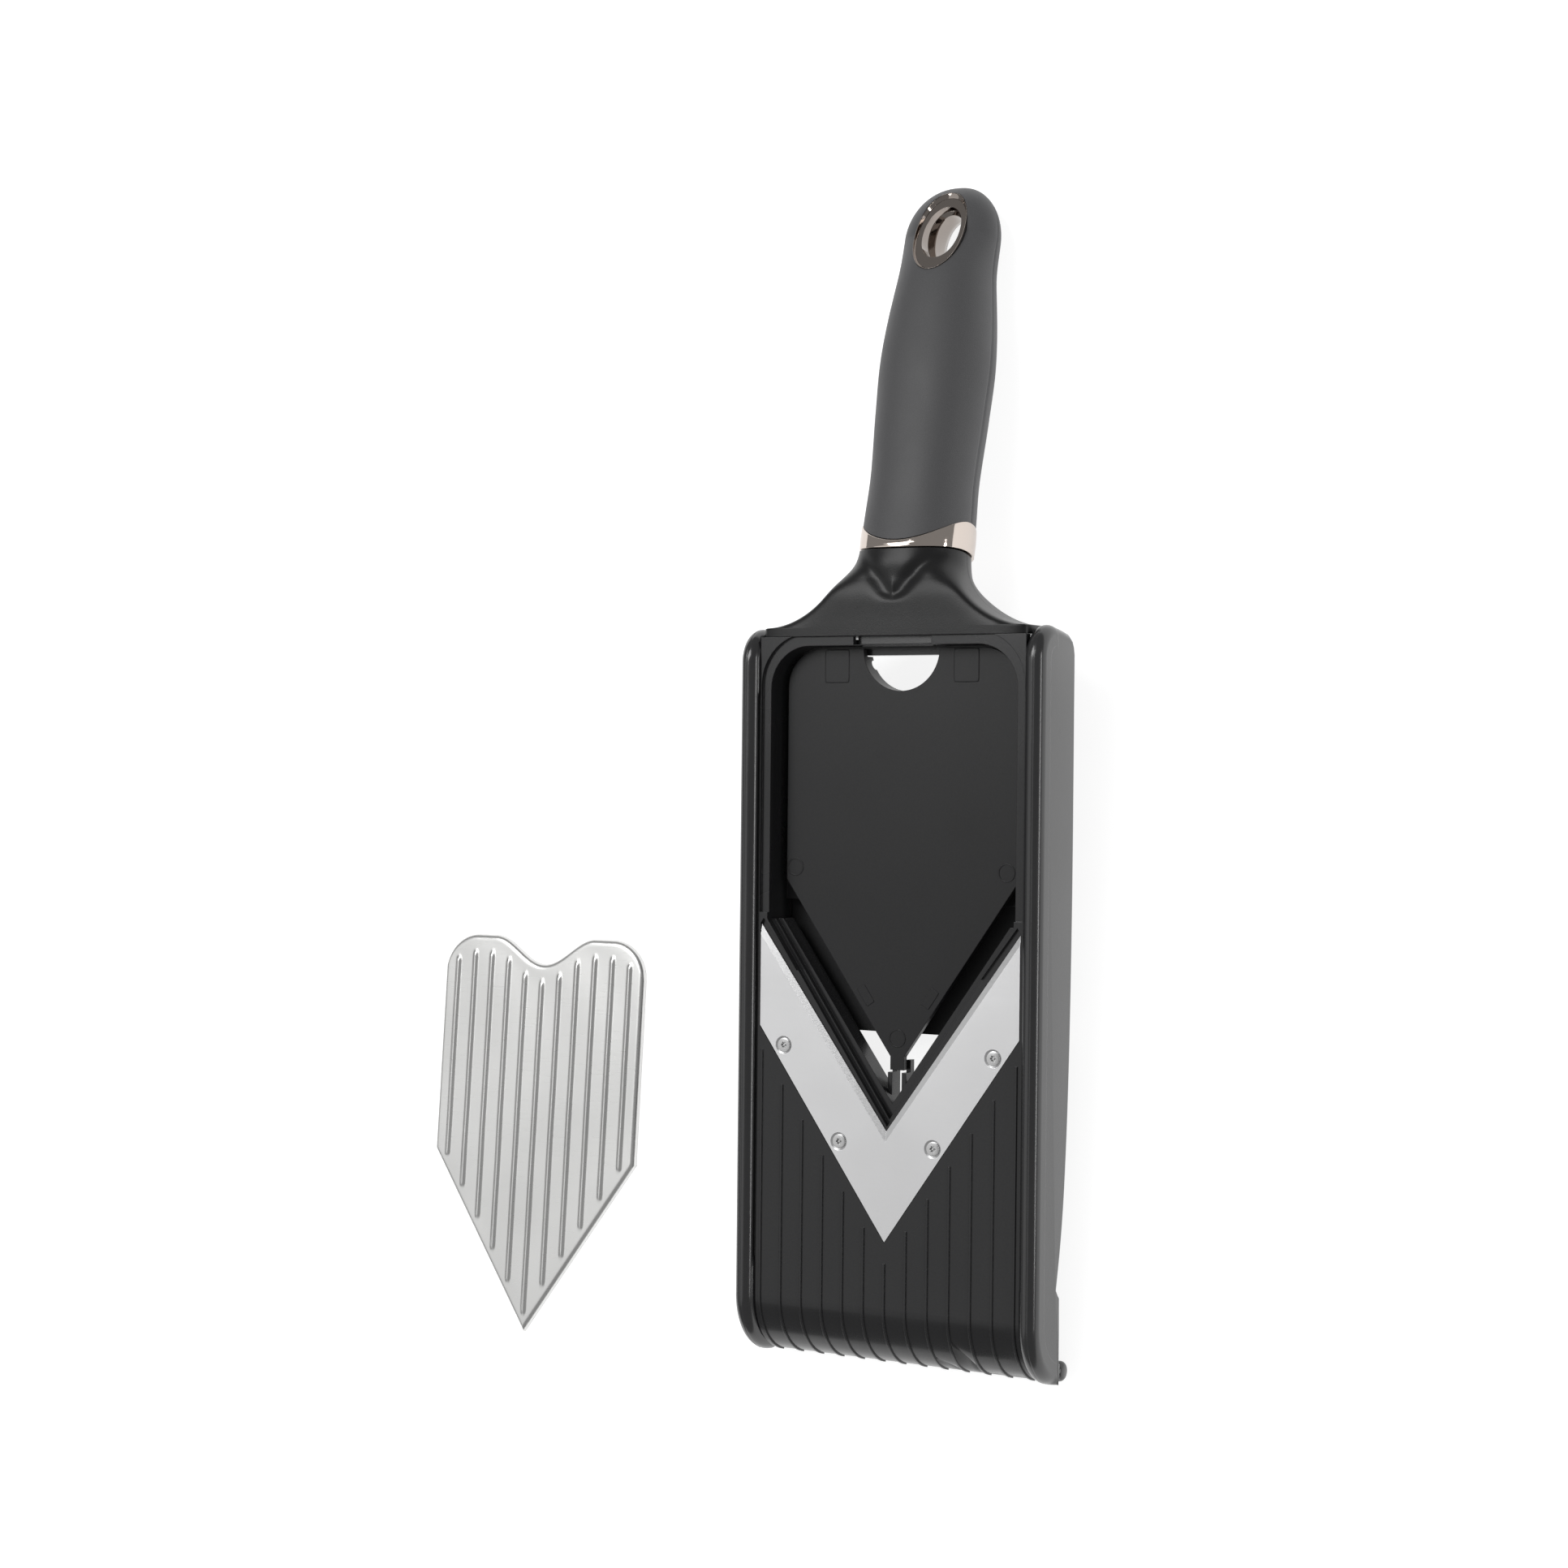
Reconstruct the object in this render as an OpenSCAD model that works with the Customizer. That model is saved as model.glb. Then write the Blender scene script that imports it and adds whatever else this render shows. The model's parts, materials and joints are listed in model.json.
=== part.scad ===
// Hand-held V-blade slicer with a lift-off ribbed feed plate.
// Each piece is drawn in the slicer's own axes: X across, Y towards the handle, Z out of
// the working face, with Z = 0 on the deck and Y = 0 at the top wall of the feed recess.
// lay_down() then sets the slicer on its far-end foot and the back of its handle, face up.

/* [Body] */
// Width over the two side rails
body_w = 109.6; // [96:0.2:132]
// Length of the straight sides of the feed recess
recess_len = 90; // [75:1:108]
// Length of the deck past the tip of the blade
deck_tail = 21.6; // [18:0.1:26]
// Thickness of the deck
deck_t = 3; // [2.6:0.1:3.6]
// Outer radius of the curled far end
curl_r = 21; // [20:0.5:24]
// Width of each side rail
rail_w = 6.8; // [6:0.1:8.2]
// Height of the rails above the deck
rail_proud = 3; // [1.5:0.1:4]
// Depth of the side walls below the deck at the handle end
wall_depth = 23.3; // [22.5:0.1:28]
// Thickness of the side walls
wall_t = 3; // [2.5:0.1:3.6]
// Width of the bezel ledge around the recess
bezel_w = 3; // [2.5:0.1:3.6]
// Depth of the bezel ledge
bezel_drop = 1.2; // [1:0.1:1.4]
// Corner radius of the recess
recess_r = 14; // [10:0.5:17]
// Radius of the foot bead along the far end
foot_r = 3.3; // [2.8:0.1:3.6]
// Depth of the flat under the foot bead
foot_flat = 0.3; // [0.2:0.05:0.4]

/* [Deck ribs] */
// Distance between the fine ribs on the deck
rib_pitch = 7.67; // [6.4:0.01:9.2]
// Width of a deck rib
rib_w = 0.8; // [0.6:0.1:1.2]
// Height of a deck rib
rib_h = 0.45; // [0.3:0.05:0.6]
// Distance from the blade to the start of each rib
rib_start = 7; // [5.5:0.5:8.5]

/* [Blade] */
// Thickness of the blade
blade_t = 1.2; // [1:0.1:1.4]
// Height of the blade's straight sides
blade_side = 33.4; // [28:0.1:40]
// Half angle of the cutting V
cut_angle = 35.6; // [33:0.1:38]
// Half angle of the blade's outer edges
outer_angle = 34.6; // [33:0.1:37]
// Width of the ground bevel
bevel_w = 2; // [1.5:0.1:2.4]
// Diameter of a blade screw's head
screw_head_d = 4.8; // [4:0.1:5.4]
// Diameter of a blade screw's shank
screw_d = 2.5; // [2:0.1:3]
// Distance from the middle to the inner blade screws
inner_screw_x = 17; // [14:0.5:20]
// Distance from the blade's straight side to the outer screws
outer_screw_in = 9; // [7.5:0.5:11]
// Distance of the blade screws from the outer edge, along Y
screw_up = 6.8; // [6:0.1:8]

/* [Ramp] */
// Distance from the deck down to the ramp at its lowest setting
ramp_drop = 8; // [7:0.1:9]
// Thickness of the ramp
ramp_t = 2.2; // [1.8:0.1:2.4]
// Gap between each side of the ramp and the recess wall
ramp_side_gap = 2.9; // [2.6:0.1:3.4]
// Tip gap from the ramp to the inner corner of the blade
slice_gap = 20; // [18:0.1:24]
// Radius of the finger notch
notch_r = 13.8; // [12:0.1:15]
// Tilt of the ramp between its lowest and highest settings
ramp_tilt = 2.4; // [1.5:0.1:2.6]
// Radius of the ramp's hinge pins
pin_r = 1.5; // [1.2:0.05:1.7]

/* [Thickness dial] */
// Radius of the dial
dial_r = 15; // [12.5:0.1:18]
// Height of the dial
dial_h = 6; // [5:0.1:7.2]
// Radius of the dial's spindle
spindle_r = 4; // [3.5:0.1:4.8]
// Turn of the dial over its whole range
dial_turn = 150; // [120:5:180]
// Number of thickness settings
settings = 6; // [5:1:6]

/* [Feed plate] */
// Sheet thickness of the feed plate
plate_t = 0.8; // [0.6:0.1:1]
// Depth of the folded rim
plate_rim = 3; // [2.4:0.1:3.6]
// Width of a rib
plate_rib_w = 2.4; // [2:0.1:3]
// Height of a rib
plate_rib_h = 1; // [0.8:0.1:1.2]
// Distance between ribs
plate_rib_pitch = 7.4; // [6.2:0.1:7.6]
// Gap between the slicer and the plate lying beside it
plate_apart = 57; // [40:1:70]

/* [Handle] */
// Angle that the handle is bent back from the working face
handle_bend = 12.8; // [10:0.1:15]
// Length of the handle from the collar to the end
handle_len = 127; // [106:1:153]
// Width of the handle at the collar
collar_width = 38.2; // [36:0.1:42]
// Thickness of the handle at the collar
collar_thick = 32.4; // [30:0.1:34]
// Distance from the collar to the grip's belly
belly_s = 63.5; // [54:0.5:72]
// Width of the grip at its belly
belly_w = 39; // [36:0.1:44]
// Thickness of the grip at its belly
belly_t = 33; // [30:0.1:35]
// Width of the rounded end
bulb_w = 33.6; // [31:0.1:37]
// Radius of the rounded back that the handle rests on
bulb_r = 12.5; // [11.5:0.1:13.5]
// Radius of the concave shoulders
shoulder_r = 30; // [25:0.5:33]
// Radius of the stiff core inside the grip
core_r = 9; // [7.5:0.1:9.6]
// Half width of the hanging hole
hang_half_w = 5.5; // [4.6:0.1:6]
// Half length of the hanging hole
hang_half_l = 9; // [8:0.1:10.5]

/* [Fits] */
// Gap between pieces that are fixed together
seat_gap = 0.05; // [0.02:0.01:0.1]
// Gap around pieces that move
move_gap = 0.3; // [0.3:0.05:0.4]
// Radial gap of pins and spindles
running_gap = 0.05; // [0.02:0.01:0.08]

/* [Hidden] */
$fn = 48;

// Widths, from the rails inwards
rail_x = body_w/2 - rail_w;                 // inner face of a rail
rail_r = rail_w/2;
wall_x = body_w/2 - wall_t;                 // inner face of a side wall
bar_z = rail_proud - rail_r;                // centre of the bar along the top of a rail
curl_ring = curl_r + 0.5 - rail_r;          // the bar's centre runs round the curl at this radius
curl_z = bar_z - curl_ring;
frame_x = rail_x - seat_gap;                // half width of the frame between the rails
recess_x = rail_x - bezel_w - 0.4;          // half width of the recess
blade_x = rail_x - 1.1;                     // half width of the blade
ramp_x = recess_x - ramp_side_gap;          // half width of the ramp

// Stations along Y
bezel_y = bezel_w;
rail_end_y = 6;
cut_top_y = -recess_len - 2;                // outer ends of the cutting edges
cut_apex_y = cut_top_y - blade_x/tan(cut_angle);
side_low_y = cut_top_y - blade_side;
blade_tip_y = side_low_y - blade_x/tan(outer_angle);
curl_y = blade_tip_y - deck_tail;           // where the deck starts to curl
foot_y = curl_y - curl_r + foot_r - 0.2;
foot_z = -curl_r;

// The ramp and its hinge
ramp_top_y = -0.7;
ramp_tip_y = cut_apex_y + slice_gap;
ramp_corner_y = ramp_tip_y + ramp_x/tan(outer_angle);
pin_y = -6;
pin_z = -ramp_drop - 6;
pin_x = 24;
hook_w = 9;
ear_t = 2.5;
ear_half = 2.5;
skirt_t = 2;
skirt_z = -16.5;
notch_y = -0.9;                               // centre of the finger notch
notch_wall = 1.6;                             // rim under the notch
notch_rim_z = -14.4;
bar_low_y = -2.9;                             // front face of the bar under the ramp's top edge
bar_top_z = -11.2;
shelf_y = [-84, -2];                          // shelf under each long edge of the ramp
shelf_in = 10;
shelf_z = -13.5;

// The snap tab that holds the feed plate, and its slot
tab_z = [-7.5, -4.1];
tab_back_y = 8;
tab_travel = 2.5;
nose_z = [-7, -5.2];
tongue_w = 4.9;
tongue_len = 5;

// The stepped ledges under the blade: how far each stands inside the cutting edge, along Y,
// and how deep it reaches
ledge_in = [1.4, 3.6, 8.5];
ledge_z = [-deck_t, -5, -12];
ledge_narrow = [0, 1.6, 3.4];

// The bridge and the dial under the ramp
bridge_top = -18;
bridge_t = 3;
bridge_len = 44;
bridge_y = cut_apex_y + 52.4;
dial_y = bridge_y - 1;
boss_r = 3;
boss_x = recess_x + skirt_t + 1.8;
boss_y = [bridge_y - bridge_len/2 + 4.5, bridge_y + bridge_len/2 - 4.5];
cam_t = 1.5;
cam_rim = 3.5;
cam_margin = 0.02;
cam_base = bridge_top + move_gap + cam_t;      // top of the cam's disc
follower_r = 11;
follower_y = dial_y - follower_r;
follower_d = 4;
follower_turn = asin(0.5*follower_d/follower_r);   // half of the turn that its foot covers
lift_per_deg = (pin_y - follower_y)*sin(ramp_tilt)/dial_turn;
step_turn = dial_turn/(settings - 1);
dial_top = bridge_top - bridge_t - move_gap;
scallop_r = 3;
scallop_out = 1.6;
spring_off = 1.9;                             // from the dial's rim to the spring's leaf

// The handle: its axis starts at the collar and drops away from the working face
collar_y = 33;
collar_z = -19;
bulb_s = handle_len - 20;
eye_s = bulb_s;
eye_tilt = 17;
collar_low = 2.8;
collar_wave_r = 28.7;
core_start = -20;
core_end = handle_len - 35;
neck_split = -11;                             // level at which the two halves of the neck meet
outer_cover_screw = [34, 5.2];
inner_cover_screw = [17.5, 14];
cover_head_d = 4.8;
eye_wall = 1.2;
flange_wall = 3.6;
flange_longer = 2.8;                          // added to the flange at each end of the hole
flange_z = 8.4;

// Attitude on the table: the foot bead and the back of the bulb both touch z = 0
bulb_y = collar_y + bulb_s*cos(handle_bend);
bulb_z = collar_z - bulb_s*sin(handle_bend);
rest_r = foot_r - foot_flat;
rest_span = norm([bulb_y - foot_y, bulb_z - foot_z]);
pitch = atan2(foot_z - bulb_z, bulb_y - foot_y) + asin((bulb_r - rest_r)/rest_span);
row_y = -(foot_y*cos(pitch) - foot_z*sin(pitch));
row_z = rest_r - (foot_y*sin(pitch) + foot_z*cos(pitch));

// The feed plate fits down over the ramp, and lies on the table beside the slicer, ribs up
plate_fit = 0.45;
plate_x = ramp_x + plate_fit + plate_t;
plate_corner_y = (plate_t + plate_fit)*tan(outer_angle/2);
plate_v = plate_x/tan(outer_angle);
plate_straight = -ramp_corner_y + plate_corner_y + 1.5;
plate_len = plate_straight + plate_v;
plate_mid_x = -body_w/2 - plate_apart - plate_x;
plate_tip_y = -10;
plate_corner_r = 12;

// Shared colours
gloss_black = [0.06, 0.06, 0.065];
matte_black = [0.1, 0.1, 0.105];
grip_grey = [0.16, 0.16, 0.165];
dark_chrome = [0.42, 0.37, 0.33];
steel = [0.76, 0.76, 0.77];
acetal = [0.85, 0.85, 0.83];

module lay_down() {
    translate([0, row_y, row_z]) rotate([pitch, 0, 0]) children();
}

module on_handle() {
    lay_down() translate([0, collar_y, collar_z]) rotate([-handle_bend, 0, 0]) children();
}

// A block between two corners
module block(low, high) {
    translate(low) cube(high - low);
}

// Everything below the surface that the slicer rests on, around its foot
module under_table() {
    block([-body_w, -30, -10], [body_w, 30, 0]);
}

// A cylinder along X between two values of X
module x_rod(x0, x1, r) {
    translate([x0, 0, 0]) rotate([0, 90, 0]) cylinder(r = r, h = x1 - x0);
}

module both_sides() {
    children();
    mirror([1, 0, 0]) children();
}

// Outline with rounded top corners and a V at the bottom
module v_outline(half_w, v_half_w, top_y, corner_y, apex_y, corner_r) {
    translate([-half_w, corner_y]) square([2*half_w, top_y - corner_r - corner_y]);
    translate([corner_r - half_w, top_y - corner_r - 1]) square([2*(half_w - corner_r), corner_r + 1]);
    for (side = [-1, 1])
        translate([side*(half_w - corner_r), top_y - corner_r]) circle(corner_r);
    polygon([[-v_half_w, corner_y + 0.01], [v_half_w, corner_y + 0.01], [0, apex_y]]);
}

// Opening of the recess at the level of one ledge
module recess_opening(level) {
    v_outline(recess_x, recess_x - ledge_narrow[level], 0, cut_top_y + 1.8,
        cut_apex_y + ledge_in[level], recess_r);
}

module blade_outline() {
    polygon([[-blade_x, cut_top_y], [0, cut_apex_y], [blade_x, cut_top_y],
        [blade_x, side_low_y], [0, blade_tip_y], [-blade_x, side_low_y]]);
}

// The four blade screws, two on each limb
module at_blade_screws() {
    both_sides() for (x = [inner_screw_x, blade_x - outer_screw_in])
        translate([x, side_low_y - (blade_x - x)/tan(outer_angle) + screw_up, 0]) children();
}

module at_bridge_screws() {
    both_sides() for (y = boss_y) translate([boss_x, y, 0]) children();
}

module deck_rib(x) {
    top_y = side_low_y - rib_start - (blade_x - abs(x))/tan(outer_angle);
    block([x - rib_w/2, curl_y, -0.5], [x + rib_w/2, top_y, rib_h]);
    translate([x - rib_w/2, curl_y, -curl_r]) rotate([0, 90, 0])
        rotate([0, 0, 180]) rotate_extrude(angle = 78)
            translate([curl_r - 0.5, 0]) square([rib_h + 0.5, rib_w]);
}

module frame_plate() {
    translate([0, 0, -deck_t]) linear_extrude(deck_t) difference() {
        translate([-frame_x, curl_y]) square([2*frame_x, bezel_y - curl_y]);
        recess_opening(0);
    }
}

module frame_curl() {
    intersection() {
        translate([0, curl_y, -curl_r]) difference() {
            x_rod(-frame_x, frame_x, curl_r);
            x_rod(-frame_x - 1, frame_x + 1, curl_r - deck_t);
        }
        block([-frame_x, curl_y - curl_r - 1, -curl_r], [frame_x, curl_y, 1]);
    }
    translate([0, foot_y, foot_z]) x_rod(-frame_x, frame_x, foot_r);
}

module frame_skirt() {
    translate([0, 0, skirt_z]) linear_extrude(-skirt_z - deck_t + 0.01) difference() {
        v_outline(recess_x + skirt_t, recess_x + skirt_t, skirt_t, cut_top_y + 1.8,
            cut_top_y - 2, recess_r + skirt_t);
        v_outline(recess_x, recess_x, 0, cut_top_y - 4, cut_top_y - 6, recess_r);
        translate([-recess_x, cut_top_y - 8]) square([2*recess_x, 12]);
    }
    for (level = [1, 2])
        translate([0, 0, ledge_z[level]])
            linear_extrude(ledge_z[level - 1] - ledge_z[level] + 0.01) difference() {
                v_outline(recess_x + skirt_t, recess_x + skirt_t, cut_top_y + 3.8 + recess_r,
                    cut_top_y + 1.8, cut_apex_y - 2.5, recess_r);
                recess_opening(level);
                translate([-recess_x - 5, cut_top_y + 3.8]) square([2*recess_x + 10, 40]);
            }
}

// Forked guide for the ramp's tongue, at the corner of the V
module tip_guide() {
    guide_top = ramp_tip_y - 1.6;
    guide_low = cut_apex_y + ledge_in[2] - 2;
    both_sides() {
        block([1.75, guide_low, -14], [3.3, guide_top, -ramp_drop]);
        block([1.75, guide_low, -14], [3.3, guide_top + 4, -ramp_drop - ramp_t - 1.2]);
    }
    block([-3.3, guide_low - 2.5, -14], [3.3, guide_low + 2, -ramp_drop - 1]);
}

module hinge_ears() {
    ear_in = pin_x - hook_w/2 - move_gap - ear_t;
    ear_out = pin_x + hook_w/2 + move_gap;
    both_sides() for (x = [ear_in, ear_out])
        block([x, pin_y - ear_half, skirt_z], [x + ear_t, skirt_t, pin_z + ear_half + 0.3]);
}

// Bar across the recess under the ramp's top edge, and a shelf under each of its long edges
module recess_braces() {
    block([6.5 - recess_x, bar_low_y, skirt_z], [recess_x - 6.5, 0.5, bar_top_z]);
    both_sides() block([recess_x - shelf_in, shelf_y[0], skirt_z], [recess_x + 0.5, shelf_y[1], shelf_z]);
}

// Posts that carry the bridge, under the deck and clear of the rails' bars
module bridge_bosses() {
    at_bridge_screws() translate([0, 0, bridge_top]) cylinder(r = boss_r, h = -bridge_top - deck_t - 1);
    intersection() {
        at_bridge_screws() translate([0, 0, bridge_top + 1])
            cylinder(r = boss_r - 0.4, h = -bridge_top - deck_t - 0.5);
        block([-frame_x, curl_y, bridge_top], [frame_x, 0, -0.5*deck_t]);
    }
}

module main_frame() {
    color(gloss_black) difference() {
        union() {
            lay_down() {
                frame_plate();
                frame_curl();
                frame_skirt();
                tip_guide();
                hinge_ears();
                recess_braces();
                for (k = [-6:6]) deck_rib(k*rib_pitch);
                at_blade_screws() translate([0, 0, -9]) cylinder(r = boss_r, h = 9 - deck_t + 0.01);
                bridge_bosses();
            }
        }
        lay_down() {
            // Bezel ledge
            translate([0, 0, -bezel_drop]) linear_extrude(bezel_drop + 1) difference() {
                v_outline(recess_x + bezel_w, recess_x + bezel_w, bezel_y + 1, cut_top_y + 4,
                    cut_top_y + 4 - 1, recess_r + bezel_w);
                translate([-60, cut_top_y - 10]) square([120, 14]);
            }
            // Pocket for the blade
            translate([0, 0, -blade_t]) linear_extrude(blade_t + 1) blade_pocket(0.15);
            at_blade_screws() translate([0, 0, -8]) cylinder(d = screw_d, h = 9);
            at_bridge_screws() translate([0, 0, bridge_top - 1]) cylinder(d = screw_d, h = 8);
            // Pin holes through the ears
            translate([0, pin_y, pin_z]) x_rod(-pin_x - 10, pin_x + 10, pin_r);
            // Slot that the snap tab stands in
            block([-notch_r - move_gap, -0.4, tab_z[0] - move_gap],
                [notch_r + move_gap, bezel_y + 1, tab_z[1] + move_gap]);
            block([-notch_r - move_gap, 0.2, tab_z[0] - move_gap], [notch_r + move_gap, bezel_y + 1, 1]);
        }
        under_table();
    }
}

// The blade's outline, larger all round, for its pocket
module blade_pocket(gap) {
    polygon([[-blade_x - gap, cut_top_y + 2.2*gap], [-blade_x + 1, cut_top_y + 2], [0, cut_apex_y + 6],
        [blade_x - 1, cut_top_y + 2], [blade_x + gap, cut_top_y + 2.2*gap],
        [blade_x + gap, side_low_y - 0.7*gap], [0, blade_tip_y - 1.8*gap],
        [-blade_x - gap, side_low_y - 0.7*gap]]);
}

// Side view of a wall: Y runs right and Z runs up
module wall_profile() {
    end_r = 11;
    rear = -wall_depth;
    step_z = -16.3;
    polygon([[curl_y, bar_z], [rail_end_y - end_r, bar_z], [rail_end_y - end_r, bar_z - end_r],
        [rail_end_y, bar_z - end_r], [rail_end_y - 8.5, rear], [side_low_y + 18, rear],
        [side_low_y - 18, rear + 1.2], [blade_tip_y + 22, rear + 4], [curl_y + 9, rear + 9.1],
        [curl_y + 5, step_z], [curl_y, step_z]]);
    translate([rail_end_y - end_r, bar_z - end_r]) circle(end_r);
    intersection() {
        translate([curl_y, curl_z]) circle(curl_ring);
        translate([curl_y - 40, step_z]) square([41, 40]);
    }
}

// Cross-section of the bar along the top of a rail
module bar_section() {
    translate([rail_x + rail_r, 0]) circle(rail_r);
    translate([rail_x, -rail_r]) square([rail_w, rail_r]);
}

module side_rail() {
    translate([0, rail_end_y - 1, bar_z]) rotate([90, 0, 0])
        linear_extrude(rail_end_y - 1 - curl_y) bar_section();
    // The bar carries on round the curl
    translate([0, curl_y, curl_z]) rotate([0, 90, 0]) rotate([0, 0, 180])
        rotate_extrude(angle = 84) translate([curl_ring, 0]) rotate(-90) mirror([1, 0]) bar_section();
    // The side wall
    translate([wall_x, 0, 0]) rotate([90, 0, 90]) linear_extrude(wall_t) wall_profile();
    // The foot bead ends in the rail
    translate([0, foot_y, foot_z]) x_rod(rail_x, body_w/2 - 0.8, foot_r);
    block([rail_x, foot_y - 2.2, foot_z], [body_w/2 - 0.8, foot_y + 2.2, foot_z + 6]);
}

module left_side_rail() {
    color(gloss_black) difference() {
        lay_down() mirror([1, 0, 0]) side_rail();
        lay_down() guide_groove(-1);
        under_table();
    }
}

module right_side_rail() {
    color(gloss_black) difference() {
        lay_down() side_rail();
        lay_down() guide_groove(1);
        under_table();
    }
}

// Shallow track along the inner face of a rail, for a hand guard
module guide_groove(side) {
    translate([side*rail_x, 0, 0])
        block([-0.6, curl_y + 12, -0.6], [0.6, -16, 1]);
}

// Plan of the shoulders between the rails and the neck
module shoulder_plan(low_y) {
    difference() {
        translate([-frame_x, low_y]) square([2*frame_x, collar_y - 8 - low_y]);
        for (side = [-1, 1])
            translate([side*(rail_x + 0.4), collar_y + 3]) circle(shoulder_r);
    }
}

// Oval section of the neck: two circles joined by a square
module oval(w, t) {
    for (side = [-1, 1]) translate([side*(w - t)/2, 0]) circle(t/2);
    translate([-(w - t)/2, -t/2]) square([w - t, t]);
}

// Straight oval bar along the handle's axis
module oval_bar(s0, s1, w, t) {
    translate([0, s1, 0]) rotate([90, 0, 0]) linear_extrude(s1 - s0) oval(w, t);
}

module at_cover_screws() {
    both_sides() {
        translate(outer_cover_screw) children();
        translate(inner_cover_screw) children();
    }
}

module neck_front() {
    color(matte_black) difference() {
        union() {
            lay_down() translate([0, 0, neck_split])
                linear_extrude(-neck_split) shoulder_plan(bezel_y + seat_gap);
            on_handle() intersection() {
                oval_bar(-18, -0.4, collar_width - 1.4, collar_thick - 1);
                block([-30, -30, 0], [30, 5, 30]);
            }
        }
        on_handle() core_hole();
        lay_down() {
            // Pocket for the snap tab
            block([-notch_r - move_gap, 0, tab_z[0] - move_gap],
                [notch_r + move_gap, tab_back_y + tab_travel + move_gap, tab_z[1] + move_gap]);
            at_cover_screws() translate([0, 0, neck_split - 1]) cylinder(d = screw_d, h = 8);
        }
    }
}

module neck_back_cover() {
    split = neck_split - seat_gap;
    color(matte_black) difference() {
        union() {
            lay_down() translate([0, 0, -wall_depth + 1])
                linear_extrude(wall_depth - 1 + split) shoulder_plan(-2.4);
            on_handle() intersection() {
                oval_bar(-18, -0.4, collar_width - 1.4, collar_thick - 1);
                block([-30, -30, -30], [30, 5, -seat_gap]);
            }
        }
        on_handle() core_hole();
        // Room for the skirt and ears of the frame
        lay_down() {
            block([-recess_x - 4, -20, skirt_z - seat_gap], [recess_x + 4, skirt_t + seat_gap, 0]);
            block([-60, -20, split - 0.01], [60, 3.2, 5]);
            at_cover_screws() translate([0, 0, -40]) cylinder(d = screw_d + 0.4, h = 40);
            at_cover_screws() translate([0, 0, -40]) cylinder(d = cover_head_d + 0.4, h = 44 - wall_depth);
        }
        // The front half keeps the space above the parting line
        on_handle() block([-30, -60, -seat_gap], [30, 5, 40]);
    }
}

module cover_screws() {
    color(steel) lay_down() at_cover_screws() {
        translate([0, 0, -wall_depth + 2]) cylinder(d = cover_head_d, h = 2);
        translate([0, 0, -wall_depth + 3.9]) cylinder(d = screw_d - 0.1, h = wall_depth - 3.9 - 5);
    }
}

module core_hole() {
    translate([0, core_end + seat_gap, 0]) rotate([90, 0, 0])
        cylinder(r = core_r + seat_gap, h = core_end - core_start + 2*seat_gap);
}

module handle_core() {
    color(matte_black) on_handle() translate([0, core_end, 0]) rotate([90, 0, 0])
        cylinder(r = core_r, h = core_end - core_start);
}

// One station of the grip: a thin oval slice
module slice_at(s, w, t, shift = 0) {
    translate([0, s, shift]) rotate([90, 0, 0]) scale([w/2, t/2, 1]) cylinder(r = 1, h = 0.02, $fn = 32);
}

module grip_shape() {
    hull() {
        slice_at(0.02, collar_width - 0.8, collar_thick - 0.8);
        slice_at(22, collar_width - 1.8, collar_thick - 1.4);
    }
    hull() {
        slice_at(22, collar_width - 1.8, collar_thick - 1.4);
        slice_at(belly_s - 6, belly_w - 0.4, belly_t - 0.4);
    }
    hull() {
        slice_at(belly_s - 6, belly_w - 0.4, belly_t - 0.4);
        slice_at(belly_s + 6, belly_w - 0.4, belly_t - 0.4);
        slice_at(belly_s, belly_w, belly_t);
    }
    hull() {
        slice_at(belly_s + 6, belly_w - 0.4, belly_t - 0.4);
        slice_at(bulb_s - 12, bulb_w - 0.8, 25.5, -0.4);
    }
    hull() {
        slice_at(bulb_s - 12, bulb_w - 0.8, 25.5, -0.4);
        slice_at(bulb_s - 3, bulb_w, 23, -0.6);
        translate([0, bulb_s, 0]) scale([1.12, 1, 1]) sphere(bulb_r, $fn = 40);
        slice_at(handle_len - 9, 25, 15, -2.6);
        slice_at(handle_len - 5, 23, 12, -1);
        slice_at(handle_len - 0.1, 8, 5, -3.4);
    }
}

// Curved joint between the collar and the grip: low at the front, high at the sides
module collar_wave(gap) {
    translate([0, collar_low + collar_wave_r, -40]) cylinder(r = collar_wave_r + gap, h = 80, $fn = 96);
}

module handle_grip() {
    color(grip_grey) on_handle() difference() {
        intersection() {
            grip_shape();
            union() {
                collar_wave(0);
                block([-40, collar_low + 14, -40], [40, handle_len + 5, 40]);
            }
        }
        core_hole();
        eyelet_hole(eye_wall + seat_gap);
        eyelet_seat(seat_gap);
    }
}

module collar_ring() {
    color(dark_chrome) on_handle() difference() {
        oval_bar(0, collar_low + 7.6, collar_width, collar_thick);
        collar_wave(seat_gap);
        core_hole();
    }
}

// Plan of the hanging hole, larger by a wall and longer at each end
module hang_plan(wall, longer = 0) {
    w = hang_half_w + wall;
    l = hang_half_l + wall + longer;
    for (side = [-1, 1]) translate([0, side*(l - w)]) circle(w);
    translate([-w, w - l]) square([2*w, 2*(l - w)]);
}

module eyelet_hole(wall) {
    translate([0, eye_s, -30]) linear_extrude(60) hang_plan(wall);
}

// The wide seat of the front eyelet, on the sloping face of the bulb
module eyelet_seat(gap) {
    translate([0, eye_s, flange_z]) rotate([-eye_tilt, 0, 0])
        translate([0, 0, -gap]) linear_extrude(20) hang_plan(flange_wall + gap, flange_longer);
}

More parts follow.
